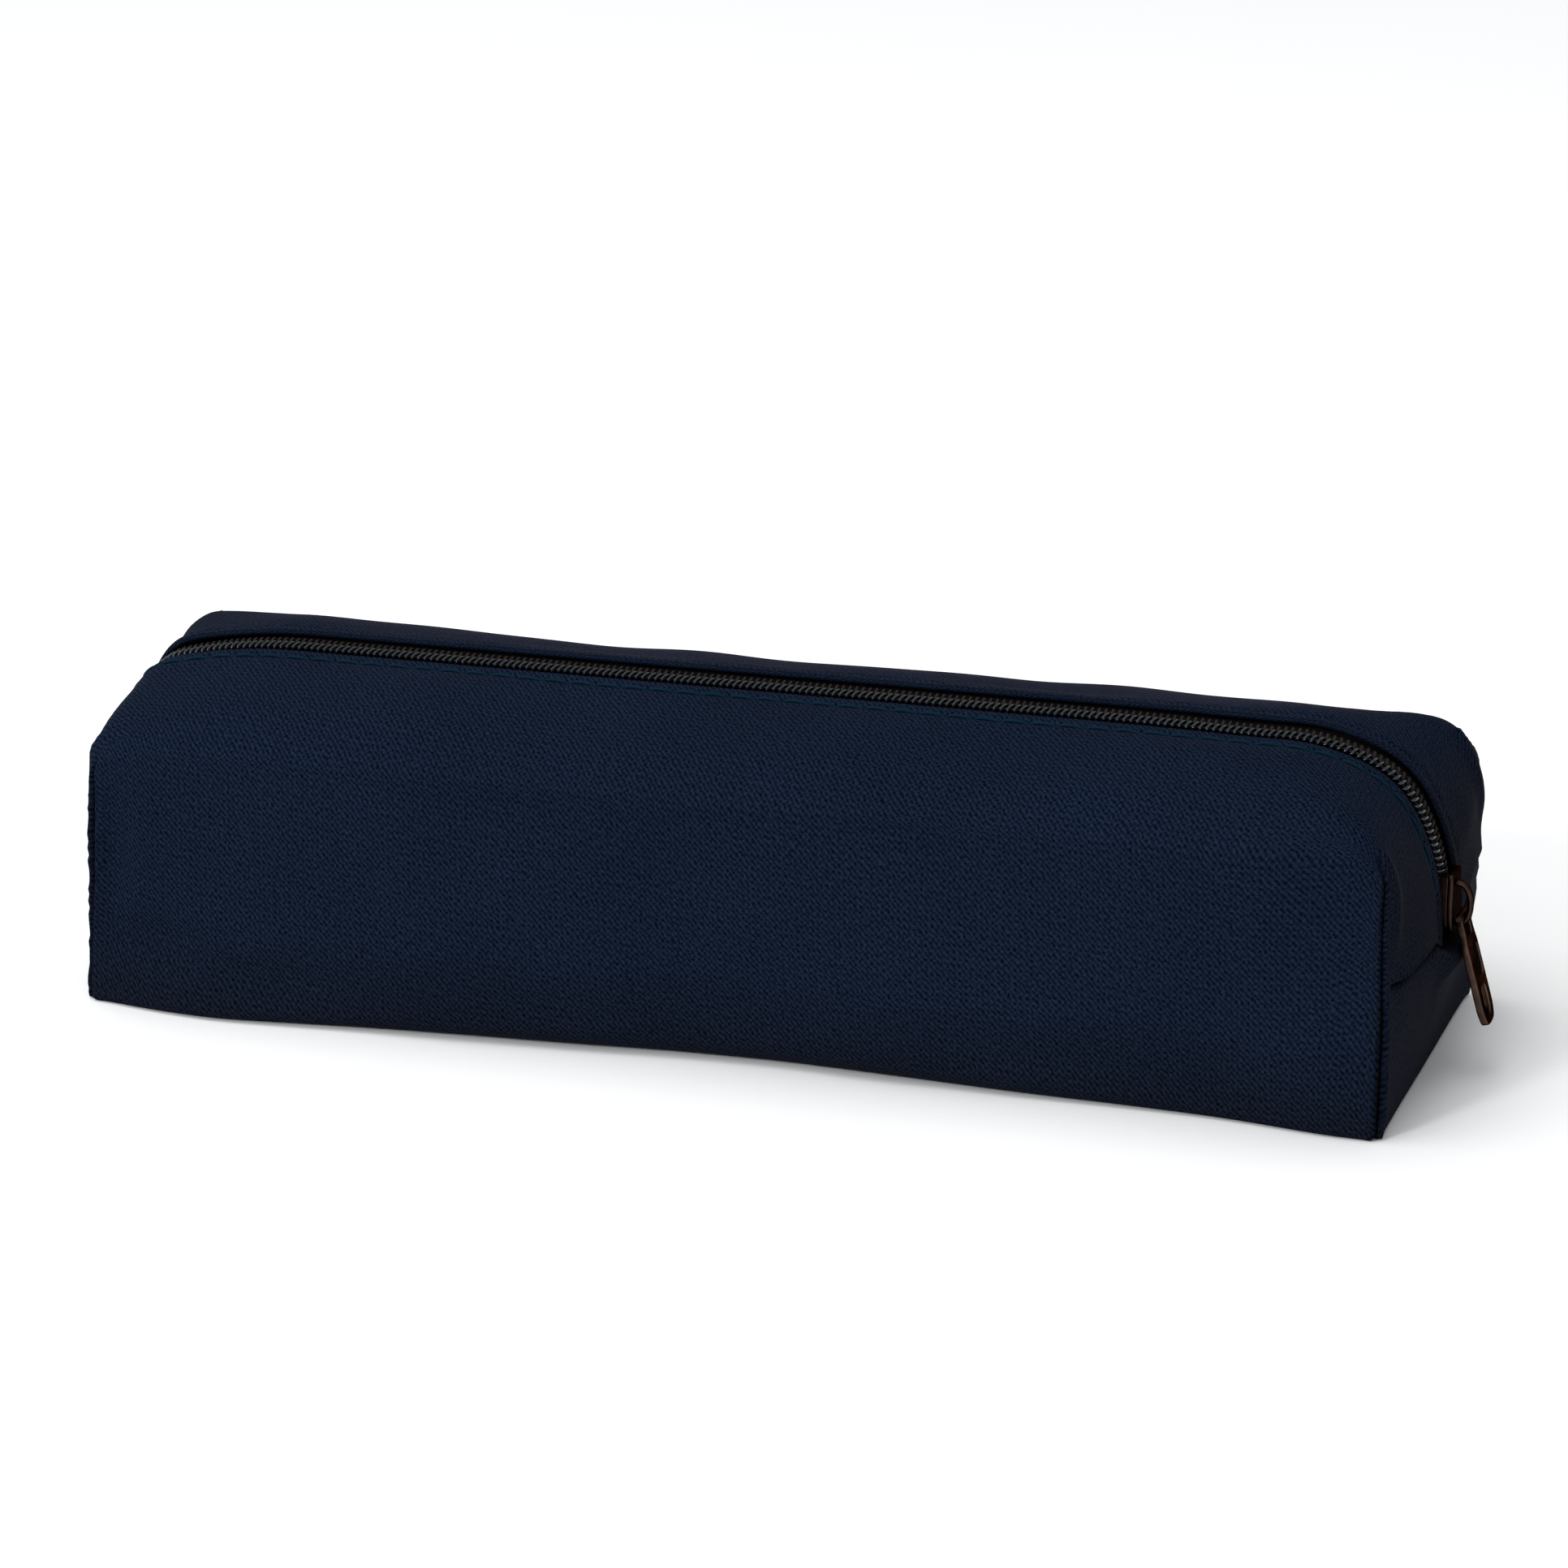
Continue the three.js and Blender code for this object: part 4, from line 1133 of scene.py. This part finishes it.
# ---- floor and light -----------------------------------------------------------
def make_floor():
    bpy.ops.mesh.primitive_plane_add(size=12, location=(0, 0, 0))
    floor = bpy.context.object
    floor.name = "floor"
    floor.data.materials.append(floor_material())


def area_light(name, place, aim, size, power, colour=(1, 1, 1), glints=True):
    data = bpy.data.lights.new(name, "AREA")
    data.color = colour
    data.shape, data.size, data.energy = "DISK", size, power
    lamp = bpy.data.objects.new(name, data)
    lamp.location = place
    lamp.rotation_mode = "QUATERNION"
    lamp.rotation_quaternion = (Vector(aim) - Vector(place)).to_track_quat("-Z", "Y")
    lamp.visible_glossy = glints
    bpy.context.scene.collection.objects.link(lamp)


def make_world():
    """Bright in front and low down, dimmer overhead, and dimmest towards the right and behind."""
    world = bpy.data.worlds.new("studio")
    world.use_nodes = True
    tree = world.node_tree
    background = tree.nodes["Background"]
    where = tree.nodes.new("ShaderNodeTexCoord")
    split = tree.nodes.new("ShaderNodeSeparateXYZ")
    tree.links.new(where.outputs["Generated"], split.inputs[0])
    up, right, back = (tree.nodes.new("ShaderNodeMapRange") for _ in range(3))
    for node, axis, start, stop, high, low in (
        (up, 2, 0.1, 1.0, 1.4, 0.8),
        (right, 0, 0.1, 0.9, 1.0, 0.35),
        (back, 1, 0.1, 0.8, 1.0, 0.42),
    ):
        tree.links.new(split.outputs[axis], node.inputs["Value"])
        for name, value in (("From Min", start), ("From Max", stop), ("To Min", high), ("To Max", low)):
            node.inputs[name].default_value = value
    strength = up.outputs[0]
    for factor in (right, back):
        product = tree.nodes.new("ShaderNodeMath")
        product.operation = "MULTIPLY"
        tree.links.new(strength, product.inputs[0])
        tree.links.new(factor.outputs[0], product.inputs[1])
        strength = product.outputs[0]
    tree.links.new(strength, background.inputs["Strength"])
    background.inputs["Color"].default_value = (0.97, 0.98, 1.0, 1)
    bpy.context.scene.world = world


make_floor()
make_world()
area_light("key", (-0.5, -1.2, 0.7), (0, 0, 0.03), 0.26, 7, (0.9, 0.96, 1.0))
area_light("fill", (-0.3, -0.1, 1.6), (0, 0, 0), 1.6, 15, glints=False)
bpy.context.scene.view_settings.view_transform = "Standard"
